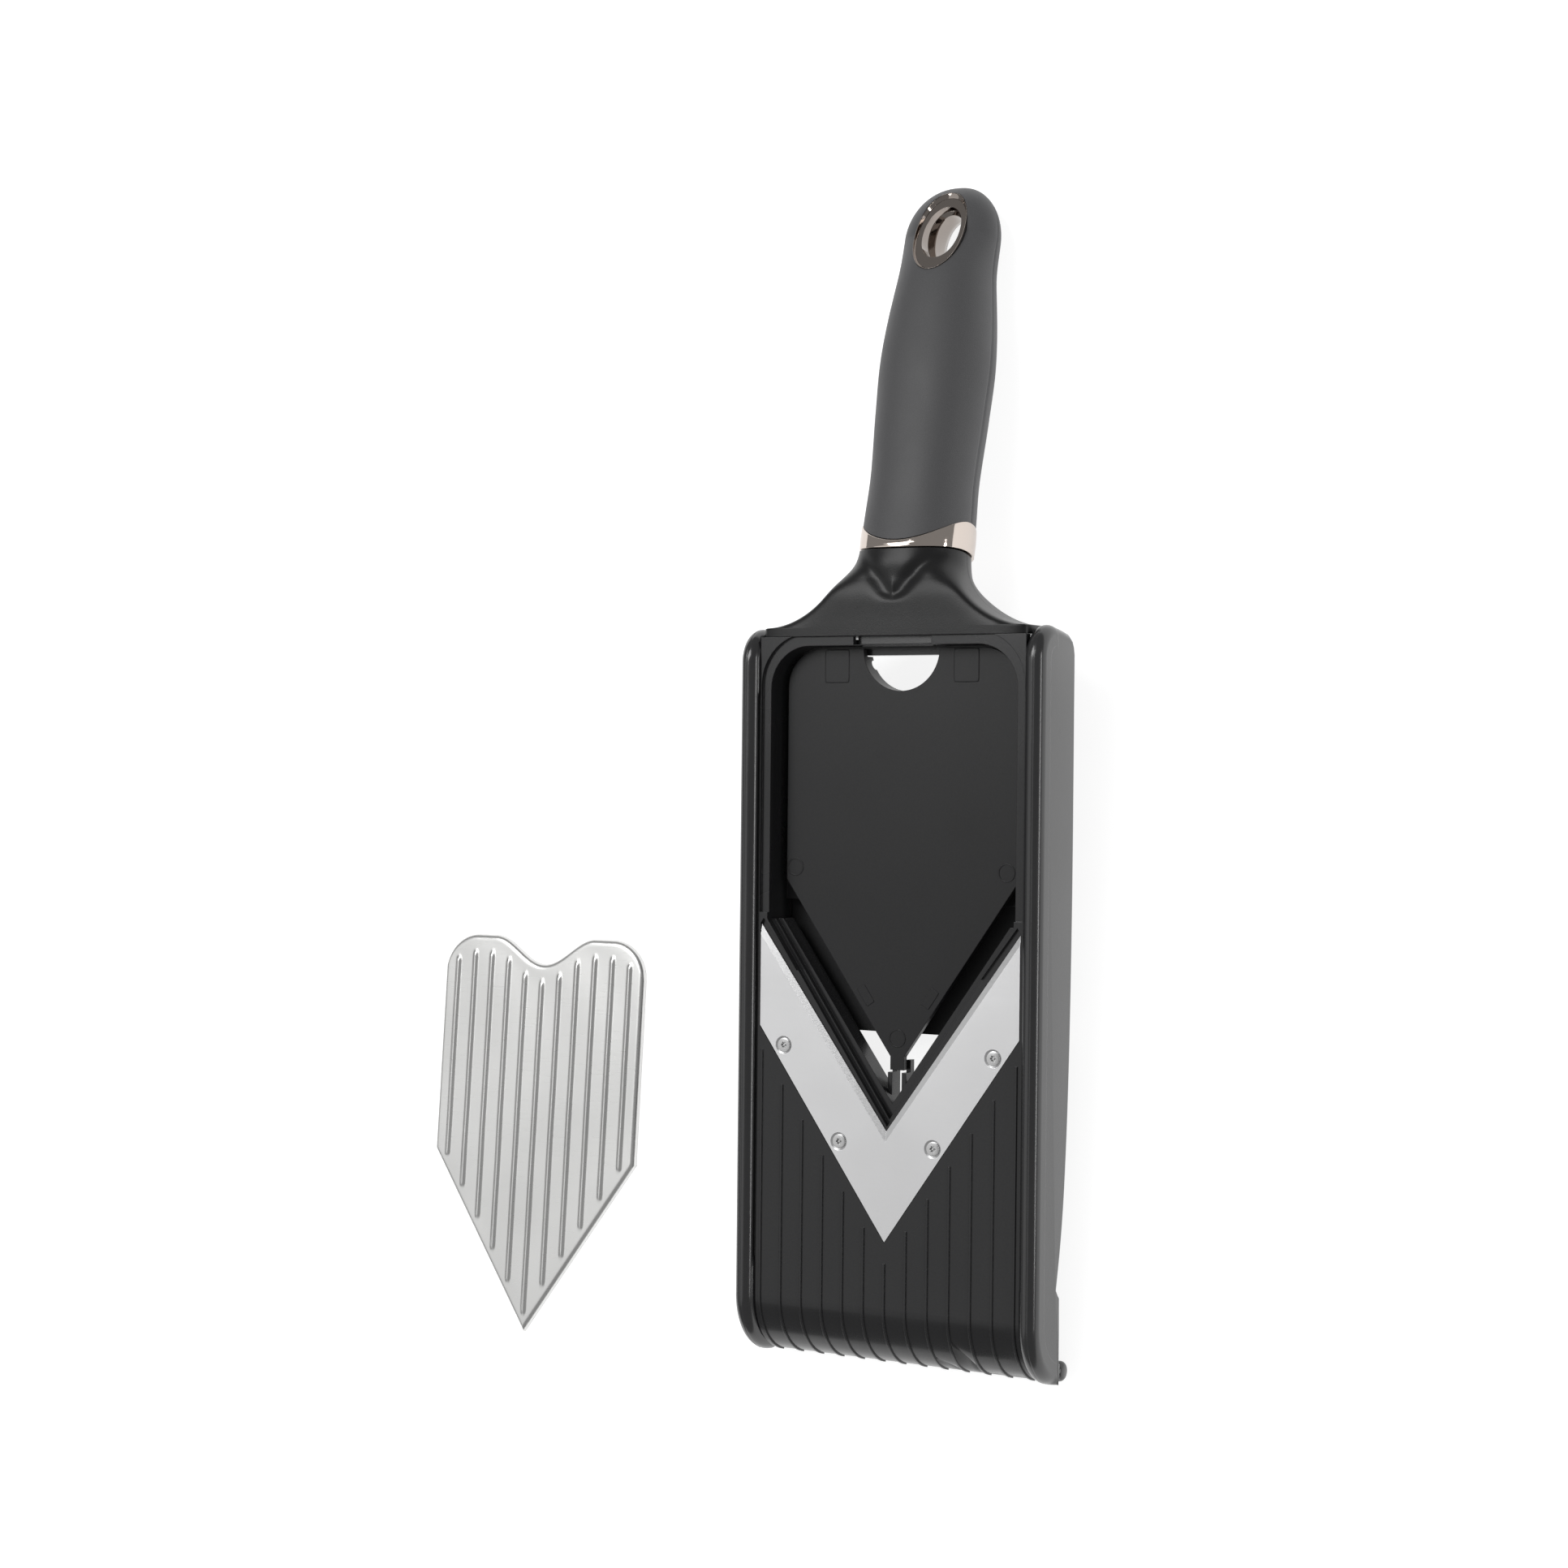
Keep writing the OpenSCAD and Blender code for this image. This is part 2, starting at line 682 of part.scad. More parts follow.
module eyelet_front() {
    color(dark_chrome) on_handle() difference() {
        union() {
            translate([0, eye_s, 0.5]) linear_extrude(9) hang_plan(eye_wall);
            translate([0, eye_s, flange_z]) rotate([-eye_tilt, 0, 0])
                linear_extrude(eye_wall) hang_plan(flange_wall, flange_longer);
        }
        eyelet_hole(0);
        translate([0, eye_s, flange_z + eye_wall]) rotate([-eye_tilt, 0, 0])
            block([-15, -20, 0], [15, 20, 8]);
    }
}

module eyelet_back() {
    color(dark_chrome) on_handle() difference() {
        intersection() {
            translate([0, eye_s, -11.4]) linear_extrude(11.85) hang_plan(eye_wall);
            block([-20, eye_s - 20, -11.4], [20, eye_s + 20, 0.45]);
        }
        eyelet_hole(0);
    }
}

module bridge_plan() {
    translate([-wall_x + 0.3, bridge_y - bridge_len/2]) square([2*wall_x - 0.6, bridge_len]);
}

module rear_bridge() {
    color(matte_black) lay_down() difference() {
        union() {
            translate([0, 0, bridge_top - bridge_t]) linear_extrude(bridge_t - seat_gap) bridge_plan();
            // Post that holds the detent spring
            for (side = [-1, 1])
                translate([side*13, dial_y - dial_r - spring_off, bridge_top - bridge_t - 4.5])
                    block([-1.8, -2, 0], [1.8, 2, 5]);
        }
        translate([0, dial_y, bridge_top - bridge_t - 1])
            cylinder(r = spindle_r + running_gap, h = bridge_t + 2);
        at_bridge_screws() translate([0, 0, bridge_top - bridge_t - 1]) cylinder(d = screw_d + 0.3, h = 6);
        translate([0, dial_y - dial_r - spring_off, bridge_top - bridge_t - 5])
            block([-15, -0.25, 0], [15, 0.25, 4.6]);
    }
}

module bridge_screws() {
    color(steel) lay_down() at_bridge_screws() {
        translate([0, 0, bridge_top - bridge_t - 1.5]) cylinder(d = 4.6, h = 1.5);
        translate([0, 0, bridge_top - bridge_t - 0.1]) cylinder(d = screw_d - 0.1, h = bridge_t + 6);
    }
}

module v_blade() {
    color(steel) lay_down() difference() {
        translate([0, 0, -blade_t]) linear_extrude(blade_t) blade_outline();
        // Ground bevels, falling to the cutting edges
        both_sides() intersection() {
            translate([0, cut_apex_y, 0]) rotate([0, 0, -cut_angle]) rotate([-90, 0, 0])
                translate([0, 0, -4]) linear_extrude(body_w)
                    polygon([[-0.3, 0.9], [bevel_w, -0.01], [-0.3, -0.5]]);
            block([-0.01, blade_tip_y, -blade_t], [body_w, 0, 1]);
        }
        at_blade_screws() {
            translate([0, 0, -blade_t - 1]) cylinder(d = screw_d + 0.3, h = 4);
            translate([0, 0, -0.9]) cylinder(d1 = screw_d + 0.3, d2 = screw_head_d + 1.2, h = 0.91);
        }
    }
}

module blade_screws() {
    color(steel) lay_down() at_blade_screws() difference() {
        union() {
            translate([0, 0, -0.85]) cylinder(d1 = screw_d, d2 = screw_head_d, h = 0.75);
            translate([0, 0, -7]) cylinder(d = screw_d - 0.1, h = 6.3);
        }
        translate([0, 0, -0.45]) cylinder(d = 2.2, h = 1);
    }
}

module ramp_outline() {
    v_outline(ramp_x, ramp_x, ramp_top_y, ramp_corner_y, ramp_tip_y, recess_r - 1.5);
    translate([-tongue_w/2, ramp_tip_y - 0.8]) square([tongue_w, tongue_len + 3]);
}

module thickness_ramp() {
    under = -ramp_drop - ramp_t;
    color(gloss_black) lay_down() difference() {
        union() {
            translate([0, 0, under]) linear_extrude(ramp_t) difference() {
                ramp_outline();
                translate([0, notch_y]) circle(notch_r);
            }
            // Rim that hangs down around the notch, short of the bar
            intersection() {
                translate([0, notch_y, notch_rim_z]) difference() {
                    cylinder(r = notch_r + notch_wall, h = under - notch_rim_z + 0.01);
                    translate([0, 0, -1]) cylinder(r = notch_r, h = under - notch_rim_z + 2);
                }
                block([-ramp_x, ramp_tip_y, notch_rim_z], [ramp_x, bar_low_y - 0.4, under + 0.01]);
            }
            // Hooks that run on the hinge pins
            both_sides() block([pin_x - hook_w/2, pin_y - 2.6, pin_z - 2.2],
                [pin_x + hook_w/2, pin_y + 2.6, under + 0.01]);
            // Stiffening ribs and the follower that the cam lifts
            both_sides() block([ramp_x - 12, ramp_corner_y + 4, under - 1.6],
                [ramp_x - 10.6, -20, under + 0.01]);
            translate([0, follower_y, cam_base + move_gap]) cylinder(d = follower_d, h = under - cam_base);
        }
        translate([0, pin_y, pin_z]) x_rod(-pin_x - 8, pin_x + 8, pin_r + running_gap);
    }
}

module ramp_hinge_pins() {
    half = hook_w/2 + move_gap + ear_t;
    color(steel) lay_down() both_sides()
        translate([0, pin_y, pin_z]) x_rod(pin_x - half, pin_x + half, pin_r);
}

module adjuster_dial() {
    color(gloss_black) lay_down() translate([0, dial_y, 0]) difference() {
        union() {
            translate([0, 0, dial_top - dial_h]) cylinder(r = dial_r, h = dial_h);
            translate([0, 0, dial_top - 0.01]) cylinder(r = spindle_r, h = bridge_t + 2*move_gap);
        }
        // A scallop for each setting, that the spring's nose clicks into
        for (k = [0:settings - 1]) rotate(180 - k*step_turn)
            translate([0, dial_r + scallop_out, dial_top - dial_h - 1]) cylinder(r = scallop_r, h = dial_h + 2);
        translate([0, 0, dial_top - dial_h - 1]) cylinder(d = screw_d, h = 20);
        translate([0, 0, dial_top - dial_h - 1]) cylinder(d = 5.2, h = 3);
    }
}

// Stepped cam: the steps lie on each other like a winding stair, and each one starts just
// after the ramp's follower has risen past it
module lift_cam() {
    color(acetal) lay_down() translate([0, dial_y, 0]) difference() {
        union() {
            translate([0, 0, bridge_top + move_gap]) cylinder(r = follower_r + cam_rim, h = cam_t);
            for (k = [1:settings - 1]) {
                step_high = ((k - 0.5)*step_turn - follower_turn)*lift_per_deg - cam_margin;
                step_in = follower_r - cam_rim + 0.5 + 0.1*k;
                step_out = follower_r + cam_rim - 0.5 - 0.1*k;
                translate([0, 0, cam_base - 0.5*cam_t]) rotate([0, 0, -90 - (settings - 0.5)*step_turn])
                    rotate_extrude(angle = (settings - k)*step_turn) translate([step_in, 0])
                        square([step_out - step_in, 0.5*cam_t + step_high]);
            }
        }
        translate([0, 0, bridge_top - 2]) cylinder(d = screw_d + 0.1, h = 12);
    }
}

module dial_screw() {
    color(steel) lay_down() translate([0, dial_y, 0]) {
        translate([0, 0, dial_top - dial_h + 0.3]) cylinder(d = 4.8, h = 1.7);
        translate([0, 0, dial_top - dial_h + 1.9]) cylinder(d = screw_d - 0.1, h = dial_h + bridge_t + 0.6);
    }
}

// Leaf that clicks into the dial's scallops
module detent_spring() {
    color(steel) lay_down() translate([0, dial_y - dial_r - spring_off, bridge_top - bridge_t - 4.9]) difference() {
        union() {
            block([-14.6, -0.2, 0], [14.6, 0.2, 4.4]);
            translate([0, 0.4, 0]) cylinder(r = 1.1, h = 4.4);
        }
        translate([0, 0.4, -1]) cylinder(r = 0.7, h = 7);
    }
}

module plate_latch() {
    color(gloss_black) lay_down() {
        block([-notch_r, 0.35, tab_z[0]], [notch_r, tab_back_y, tab_z[1]]);
        block([-notch_r + 1, -0.3, nose_z[0]], [notch_r - 1, 0.36, nose_z[1]]);
    }
}

module plate_outline(inset) {
    v_outline(plate_x - inset, plate_x - inset, plate_len - inset, plate_v + inset*tan(outer_angle/2),
        inset/sin(outer_angle), plate_corner_r - inset);
}

module plate_rib(x) {
    low_y = plate_v*abs(x)/plate_x + 4.5/sin(outer_angle) - 1;
    dip = abs(x) < notch_r + 2 ? 13.5 : 6.5;
    high_y = plate_len - max(dip, 6.5 + (abs(x) > plate_x - 10 ? 4 : 0));
    translate([x, 0, plate_rim]) {
        block([-plate_rib_w/2, low_y, -0.2], [plate_rib_w/2, high_y, plate_rib_h*0.5]);
        translate([0, high_y, 0]) rotate([90, 0, 0]) intersection() {
            translate([0, plate_rib_h - plate_rib_w*0.62, 0])
                cylinder(r = plate_rib_w*0.62, h = high_y - low_y);
            block([-plate_rib_w/2, -0.2, 0], [plate_rib_w/2, plate_rib_h, high_y - low_y]);
        }
    }
}

module feed_plate() {
    color(steel) translate([plate_mid_x, plate_tip_y, 0]) {
        difference() {
            linear_extrude(plate_rim) plate_outline(0);
            translate([0, 0, -1]) linear_extrude(plate_rim + 1 - plate_t) plate_outline(plate_t);
            translate([0, plate_len + 2, -1]) cylinder(r = notch_r, h = plate_rim + 2);
        }
        for (k = [-5:5]) plate_rib(k*plate_rib_pitch);
    }
}

main_frame();
left_side_rail();
right_side_rail();
neck_front();
neck_back_cover();
cover_screws();
rear_bridge();
bridge_screws();
v_blade();
blade_screws();
thickness_ramp();
ramp_hinge_pins();
adjuster_dial();
lift_cam();
dial_screw();
detent_spring();
plate_latch();
feed_plate();
handle_core();
handle_grip();
collar_ring();
eyelet_front();
eyelet_back();
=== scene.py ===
"""Looks of the V-blade slicer: moulded surfaces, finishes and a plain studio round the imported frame."""

import json

import bpy
import numpy as np
from bpy.props import FloatProperty, FloatVectorProperty, PointerProperty
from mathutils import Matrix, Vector


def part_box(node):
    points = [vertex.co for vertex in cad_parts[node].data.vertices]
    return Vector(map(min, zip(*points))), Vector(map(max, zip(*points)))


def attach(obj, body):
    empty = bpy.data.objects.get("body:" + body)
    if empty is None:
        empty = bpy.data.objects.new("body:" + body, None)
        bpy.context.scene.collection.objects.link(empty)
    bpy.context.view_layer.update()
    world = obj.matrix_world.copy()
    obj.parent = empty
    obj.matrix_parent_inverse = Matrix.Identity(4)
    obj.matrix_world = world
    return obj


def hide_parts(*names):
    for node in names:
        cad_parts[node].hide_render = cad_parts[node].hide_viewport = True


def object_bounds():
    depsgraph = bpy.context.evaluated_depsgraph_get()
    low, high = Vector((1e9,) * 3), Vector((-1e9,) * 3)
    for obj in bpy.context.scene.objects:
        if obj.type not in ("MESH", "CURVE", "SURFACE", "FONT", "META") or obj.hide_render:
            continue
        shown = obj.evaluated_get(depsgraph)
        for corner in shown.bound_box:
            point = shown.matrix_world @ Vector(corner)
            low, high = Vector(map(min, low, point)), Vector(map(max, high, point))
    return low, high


bl_info = {
    "name": "V-blade slicer looks",
    "version": (1, 0, 0),
    "blender": (4, 5, 0),
    "location": "3D View > Sidebar > Slicer",
    "description": "Builds the moulded pieces, the finishes and the studio of a V-blade slicer",
    "category": "Object",
}

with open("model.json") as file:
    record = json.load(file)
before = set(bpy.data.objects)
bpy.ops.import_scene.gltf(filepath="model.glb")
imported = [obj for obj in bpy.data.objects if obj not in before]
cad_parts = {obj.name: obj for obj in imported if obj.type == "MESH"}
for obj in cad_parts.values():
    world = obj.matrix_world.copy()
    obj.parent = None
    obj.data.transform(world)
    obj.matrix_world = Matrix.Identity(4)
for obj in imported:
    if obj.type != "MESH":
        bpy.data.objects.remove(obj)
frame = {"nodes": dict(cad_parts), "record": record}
CAD_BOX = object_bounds()
RECORD = frame["record"]
JOINTS = {joint["name"]: joint for joint in RECORD["behaviour"]["joints"]}
MOUNTS = {mount["name"]: mount for mount in RECORD["mounts"]}
SLOTS = {part["node"]: part["material_slot"] for part in RECORD["subparts"]}
COLOURS = {entry["slot"]: tuple(entry["base_color"]) for entry in RECORD["materials"]}

# Places of the ramp's hinge in the slicer's own axes, and of the hanging hole on the handle
HINGE_LOCAL = np.array([0.0, -0.006, -0.014])
HOLE_ON_HANDLE = np.array([0.0, 0.107, 0.0096])


def about_x(angle):
    """3 x 3 matrix of a turn about X."""
    c, s = np.cos(angle), np.sin(angle)
    return np.array([[1, 0, 0], [0, c, -s], [0, s, c]])


FACE_NORMAL = np.array(JOINTS["dial_turn"]["axis"])
PITCH = np.arctan2(-FACE_NORMAL[1], FACE_NORMAL[2])
HOLE_AXIS = np.array(MOUNTS["hang_hole"]["axis"])
HANDLE_TURN = -np.arctan2(HOLE_AXIS[1], HOLE_AXIS[2])
BODY_TURN = about_x(PITCH)
BODY_ORIGIN = np.array(JOINTS["ramp_tilt"]["pos_m"]) - BODY_TURN @ HINGE_LOCAL
HANDLE_ORIGIN = np.array(MOUNTS["hang_hole"]["pos_m"]) - about_x(HANDLE_TURN) @ HOLE_ON_HANDLE


def lay_down(points):
    """Slicer's own axes (X across, Y to the handle, Z out of the face, 0 on the deck) to the row frame."""
    return points @ BODY_TURN.T + BODY_ORIGIN


def on_handle(points):
    """Handle's own axes (Y along the handle from the collar, Z to the front) to the row frame."""
    return points @ about_x(HANDLE_TURN).T + HANDLE_ORIGIN


# Surfaces

def ease_through(x, stations, values):
    """Smooth curve through stations: a Hermite cubic a span, with slopes taken from the neighbours."""
    stations, values = np.asarray(stations, float), np.asarray(values, float)
    slopes = np.gradient(values, stations)
    i = np.clip(np.searchsorted(stations, x) - 1, 0, len(stations) - 2)
    span = stations[i + 1] - stations[i]
    t = (x - stations[i]) / span
    return ((2 * t**3 - 3 * t**2 + 1) * values[i] + (t**3 - 2 * t**2 + t) * span * slopes[i]
            + (3 * t**2 - 2 * t**3) * values[i + 1] + (t**3 - t**2) * span * slopes[i + 1])


def smooth_step(x, low, high):
    """0 below low, 1 above high, and 3t^2 - 2t^3 between."""
    t = np.clip((x - low) / (high - low), 0, 1)
    return t * t * (3 - 2 * t)


def full_turn(count):
    """Even angles round a whole turn."""
    return np.linspace(0, 2 * np.pi, count, endpoint=False)


def oval_point(angle, half_w, half_t, power):
    """Superellipse: each axis is its half size times |cos| or |sin| to the power 2 / power, with its sign."""
    c, s = np.cos(angle), np.sin(angle)
    return (half_w * np.sign(c) * np.abs(c) ** (2 / power), half_t * np.sign(s) * np.abs(s) ** (2 / power))


def grid_faces(rows, columns, wrap_rows=False, wrap_columns=False):
    """Quads that join each point of a rows x columns grid to its right and upper neighbours."""
    i = np.arange(rows if wrap_rows else rows - 1)[:, None]
    j = np.arange(columns if wrap_columns else columns - 1)[None, :]
    i2, j2 = (i + 1) % rows, (j + 1) % columns
    i, i2 = i * columns, i2 * columns
    return np.stack([i + j, i + j2, i2 + j2, i2 + j], -1).reshape(-1, 4)


def closed_skin(grid, wrap_rows=False):
    """Points and faces of a tube: each row is a closed loop, and open ends are fanned to their centre."""
    rows, columns, _ = grid.shape
    points = grid.reshape(-1, 3)
    faces = grid_faces(rows, columns, wrap_rows, True).tolist()
    if not wrap_rows:
        j = np.arange(columns)
        for row, turn in ((0, 1), (rows - 1, -1)):
            points = np.vstack([points, grid[row].mean(0)])
            ring = np.stack([row * columns + (j + 1) % columns, row * columns + j], -1)[:, ::turn]
            faces += np.column_stack([ring, np.full(columns, len(points) - 1)]).tolist()
    return points, faces


def outward(points, faces):
    """The faces, all turned round if the closed shell's signed volume is negative."""
    corner = np.array([f[:3] for f in faces])
    last = np.array([[f[0], f[2], f[-1]] for f in faces])
    triangles = np.vstack([corner, last])
    a, b, c = points[triangles[:, 0]], points[triangles[:, 1]], points[triangles[:, 2]]
    volume = np.einsum("ij,ij->i", a, np.cross(b, c)).sum()
    return faces if volume > 0 else [f[::-1] for f in faces]


def joined(shells):
    """Several (points, faces) as one."""
    points, faces, start = [], [], 0
    for p, f in shells:
        points.append(p)
        faces += [[start + k for k in face] for face in f]
        start += len(p)
    return np.vstack(points), faces


def new_piece(name, shells, closed=True, sharp=40.0):
    """A smooth-shaded object of the shells, at the origin, with edges over `sharp` degrees kept sharp."""
    shells = [(p, outward(p, f)) if closed else (p, f) for p, f in shells]
    points, faces = joined(shells)
    mesh = bpy.data.meshes.new(name)
    mesh.from_pydata(points.tolist(), [], faces)
    mesh.validate()
    mesh.shade_smooth()
    mesh.set_sharp_from_angle(angle=np.radians(sharp))
    piece = bpy.data.objects.new(name, mesh)
    bpy.context.scene.collection.objects.link(piece)
    return piece


def cut_away(piece, cutters, sharp=40.0):
    """Cuts each closed shell out of the piece and keeps the result as its plain mesh."""
    for shell in cutters:
        tool = new_piece("cutter", [shell])
        modifier = piece.modifiers.new("cut", "BOOLEAN")
        modifier.object, modifier.operation, modifier.solver = tool, "DIFFERENCE", "EXACT"
        graph = bpy.context.evaluated_depsgraph_get()
        mesh = bpy.data.meshes.new_from_object(piece.evaluated_get(graph))
        piece.modifiers.clear()
        old, piece.data = piece.data, mesh
        bpy.data.meshes.remove(old)
        bpy.data.objects.remove(tool)
    piece.data.shade_smooth()
    piece.data.set_sharp_from_angle(angle=np.radians(sharp))


def place(piece, body, slot, *nodes, finish=None):
    """Gives a piece its finish (the slot's own, unless one is named) and its body, and hides the CAD nodes it
    stands in for.
    """
    piece.data.materials.clear()
    piece.data.materials.append(FINISHES[finish or slot])
    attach(piece, body)
    if nodes:
        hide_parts(*nodes)


def arc(centre, radius, angle):
    """Points round a centre at the given angles; the radius is one number or one for each point."""
    return np.column_stack([centre[0] + radius * np.cos(angle), centre[1] + radius * np.sin(angle)])


def at_height(loop, height):
    """A flat loop of points raised to a height, or to one height for each point."""
    return np.column_stack([loop, height + 0 * loop[:, 0]])


def block_shell(low, high):
    """A box between two corners, as a one-cell tube."""
    (x0, y0, z0), (x1, y1, z1) = low, high
    loop = np.array([[x0, y0], [x1, y0], [x1, y1], [x0, y1]])
    return closed_skin(np.stack([at_height(loop, z) for z in (z0, z1)]))


def rod_shell(centre, radius, low, high, count=40):
    """An upright cylinder as a tube of two rings."""
    loop = arc(centre, radius, full_turn(count))
    return closed_skin(np.stack([at_height(loop, z) for z in (low, high)]))


def lay_shell(shell):
    """A (points, faces) shell from the slicer's own axes to the row frame."""
    return lay_down(shell[0]), shell[1]


def node_box(node):
    """Lowest and highest corners of a CAD node's points in the slicer's own axes."""
    mesh = frame["nodes"][node].data
    flat = np.empty(len(mesh.vertices) * 3)
    mesh.vertices.foreach_get("co", flat)
    points = (flat.reshape(-1, 3) - BODY_ORIGIN) @ BODY_TURN
    return points.min(0), points.max(0)


# Finishes

def set_inputs(node, **inputs):
    """Sets or links a node's sockets: Base_Color means "Base Color", and i0 socket 0."""
    for key, value in inputs.items():
        socket = node.inputs[int(key[1:]) if key[0] == "i" and key[1:].isdigit() else key.replace("_", " ")]
        if isinstance(value, bpy.types.NodeSocket):
            node.id_data.links.new(value, socket)
        else:
            socket.default_value = value


def add_node(tree, kind, settings=(), **inputs):
    """A node with its settings and its inputs, which are named as set_inputs names them."""
    node = tree.nodes.new(kind)
    for key, value in dict(settings).items():
        setattr(node, key, value)
    set_inputs(node, **inputs)
    return node


def start_group(name, inputs, outputs):
    """A shader node group with named sockets: (group, its input node, its output node)."""
    group = bpy.data.node_groups.new(name, "ShaderNodeTree")
    for label, default in inputs.items():
        socket = group.interface.new_socket(name=label, in_out="INPUT", socket_type="NodeSocketFloat")
        socket.default_value = default
    for label in outputs:
        kind = "NodeSocketVector" if label == "Normal" else "NodeSocketFloat"
        group.interface.new_socket(name=label, in_out="OUTPUT", socket_type=kind)
    return group, group.nodes.new("NodeGroupInput"), group.nodes.new("NodeGroupOutput")


def spread(tree, value, low, high):
    """Maps a noise's middle range to low..high."""
    return add_node(tree, "ShaderNodeMapRange", Value=value, From_Min=0.3, From_Max=0.7, To_Min=low,
                    To_Max=high).outputs["Result"]


def group_grain():
    """Moulded grain: fine noise for the bump, and slow noise that carries the roughness from Low to High."""
    group, given, out = start_group(
        "moulded_grain", {"Scale": 1500.0, "Low": 0.4, "High": 0.5}, ("Height", "Roughness", "Shade"))
    spot = group.nodes.new("ShaderNodeTexCoord").outputs["Object"]
    fine = add_node(group, "ShaderNodeTexNoise", Vector=spot, Scale=given.outputs["Scale"], Detail=2.0)
    slow = add_node(group, "ShaderNodeTexNoise", Vector=spot, Scale=38.0, Detail=3.0)
    rough = spread(group, slow.outputs["Fac"], given.outputs["Low"], given.outputs["High"])
    shade = spread(group, fine.outputs["Fac"], 0.0, 1.0)
    set_inputs(out, Height=fine.outputs["Fac"], Roughness=rough, Shade=shade)
    return group


def group_soft_edge():
    """Edge breaks: the bevel's rounded normal, and a mask of how far it leans from the face's own normal,
    where the finishes paint an edge highlight.
    """
    group, given, out = start_group(
        "soft_edge", {"Radius": 0.0003, "Gain": 6.0}, ("Normal", "Mask"))
    bevel = add_node(group, "ShaderNodeBevel", {"samples": 6}, Radius=given.outputs["Radius"])
    face = group.nodes.new("ShaderNodeNewGeometry").outputs["Normal"]
    lean = add_node(group, "ShaderNodeVectorMath", {"operation": "DOT_PRODUCT"}, i0=bevel.outputs[0], i1=face)
    miss = add_node(group, "ShaderNodeMath", {"operation": "SUBTRACT", "use_clamp": True}, i0=1.0,
                    i1=lean.outputs["Value"])
    mask = add_node(group, "ShaderNodeMath", {"operation": "MULTIPLY", "use_clamp": True}, i0=miss.outputs[0],
                    i1=given.outputs["Gain"])
    set_inputs(out, Normal=bevel.outputs[0], Mask=mask.outputs[0])
    return group


def group_brushed():
    """Brushed metal: noise drawn out along one axis, as height, tone and a roughness from Low to High."""
    group, given, out = start_group(
        "brushed_lines", {"Across": 2600.0, "Along": 60.0, "Low": 0.25, "High": 0.4},
        ("Height", "Roughness", "Tone"))
    spot = group.nodes.new("ShaderNodeTexCoord").outputs["Object"]
    sizes = add_node(group, "ShaderNodeCombineXYZ", X=given.outputs["Along"], Y=given.outputs["Across"],
                     Z=given.outputs["Across"])
    drawn = add_node(group, "ShaderNodeVectorMath", {"operation": "MULTIPLY"}, i0=spot, i1=sizes.outputs[0])
    lines = add_node(group, "ShaderNodeTexNoise", Vector=drawn.outputs[0], Scale=1.0, Detail=3.0)
    cloud = add_node(group, "ShaderNodeTexNoise", Vector=spot, Scale=22.0, Detail=2.0)
    rough = spread(group, lines.outputs["Fac"], given.outputs["Low"], given.outputs["High"])
    tone = spread(group, cloud.outputs["Fac"], 0.0, 1.0)
    set_inputs(out, Height=lines.outputs["Fac"], Roughness=rough, Tone=tone)
    return group


def use_group(tree, group, **inputs):
    """Places a node group in a material with its own values."""
    return add_node(tree, "ShaderNodeGroup", {"node_tree": group}, **inputs).outputs


def tinted(tree, mask, plain, marked, blend="MIX"):
    """The plain colour (or a socket's), going to the marked one where the mask is 1."""
    mix = add_node(tree, "ShaderNodeMix", {"data_type": "RGBA", "blend_type": blend}, Factor=mask)
    set_inputs(mix, A=plain if isinstance(plain, bpy.types.NodeSocket) else (*plain, 1), B=(*marked, 1))
    return mix.outputs["Result"]


def start_material(name):
    """A material with an empty tree: (material, tree, Principled shader)."""
    material = bpy.data.materials.new(name)
    material.use_nodes = True
    tree = material.node_tree
    return material, tree, tree.nodes["Principled BSDF"]


def lighter(colour, factor):
    """The colour times a factor, kept under 1."""
    return tuple(min(channel * factor, 1.0) for channel in colour)


def textured(name, texture, edge, gain, depth, **values):
    """A material on a texture group and softened edges: (material, tree, shader, texture, edge mask for the
    painted highlight).
    """
    material, tree, shader = start_material(name)
    grain = use_group(tree, GROUPS[texture], **values)
    edges = use_group(tree, GROUPS["edge"], Radius=edge, Gain=gain)
    bump = add_node(tree, "ShaderNodeBump", Strength=1.0, Distance=depth, Height=grain["Height"],
                    Normal=edges["Normal"])
    set_inputs(shader, Roughness=grain["Roughness"], Normal=bump.outputs["Normal"])
    return material, tree, shader, grain, edges["Mask"]


def moulded(name, colour, low, high, scale, depth, edge=0.0003, edge_highlight=2.2, coat=0.0, specular=0.5):
    """Moulded plastic: grain in the bump, roughness that drifts, and edges coloured lighter as a painted
    highlight.
    """
    material, tree, shader, grain, mask = textured(name, "grain", edge, 4.0, depth,
                                                   Scale=scale, Low=low, High=high)
    # Painted highlight: the colour goes lighter where the bevel mask finds an edge
    highlighted = tinted(tree, mask, colour, lighter(colour, edge_highlight))
    speckled = tinted(tree, grain["Shade"], highlighted, (0.86, 0.86, 0.86), "MULTIPLY")
    set_inputs(shader, Base_Color=speckled, Specular_IOR_Level=specular, Coat_Weight=coat,
               Coat_Roughness=0.06)
    return material


def metal(name, colour, low, high, across, along, depth, edge=0.0001):
    """Steel or plating: brushed lines in bump and roughness, a slow change of tone, and a painted highlight
    along the edges.
    """
    material, tree, shader, lines, mask = textured(name, "brushed", edge, 3.0, depth,
                                                   Across=across, Along=along, Low=low, High=high)
    tone = tinted(tree, lines["Tone"], colour, lighter(colour, 0.9))
    # Painted highlight: the edges are coloured lighter than the steel
    set_inputs(shader, Base_Color=tinted(tree, mask, tone, lighter(colour, 1.2)), Metallic=1.0)
    return material


GROUPS = {}
FINISHES = {}


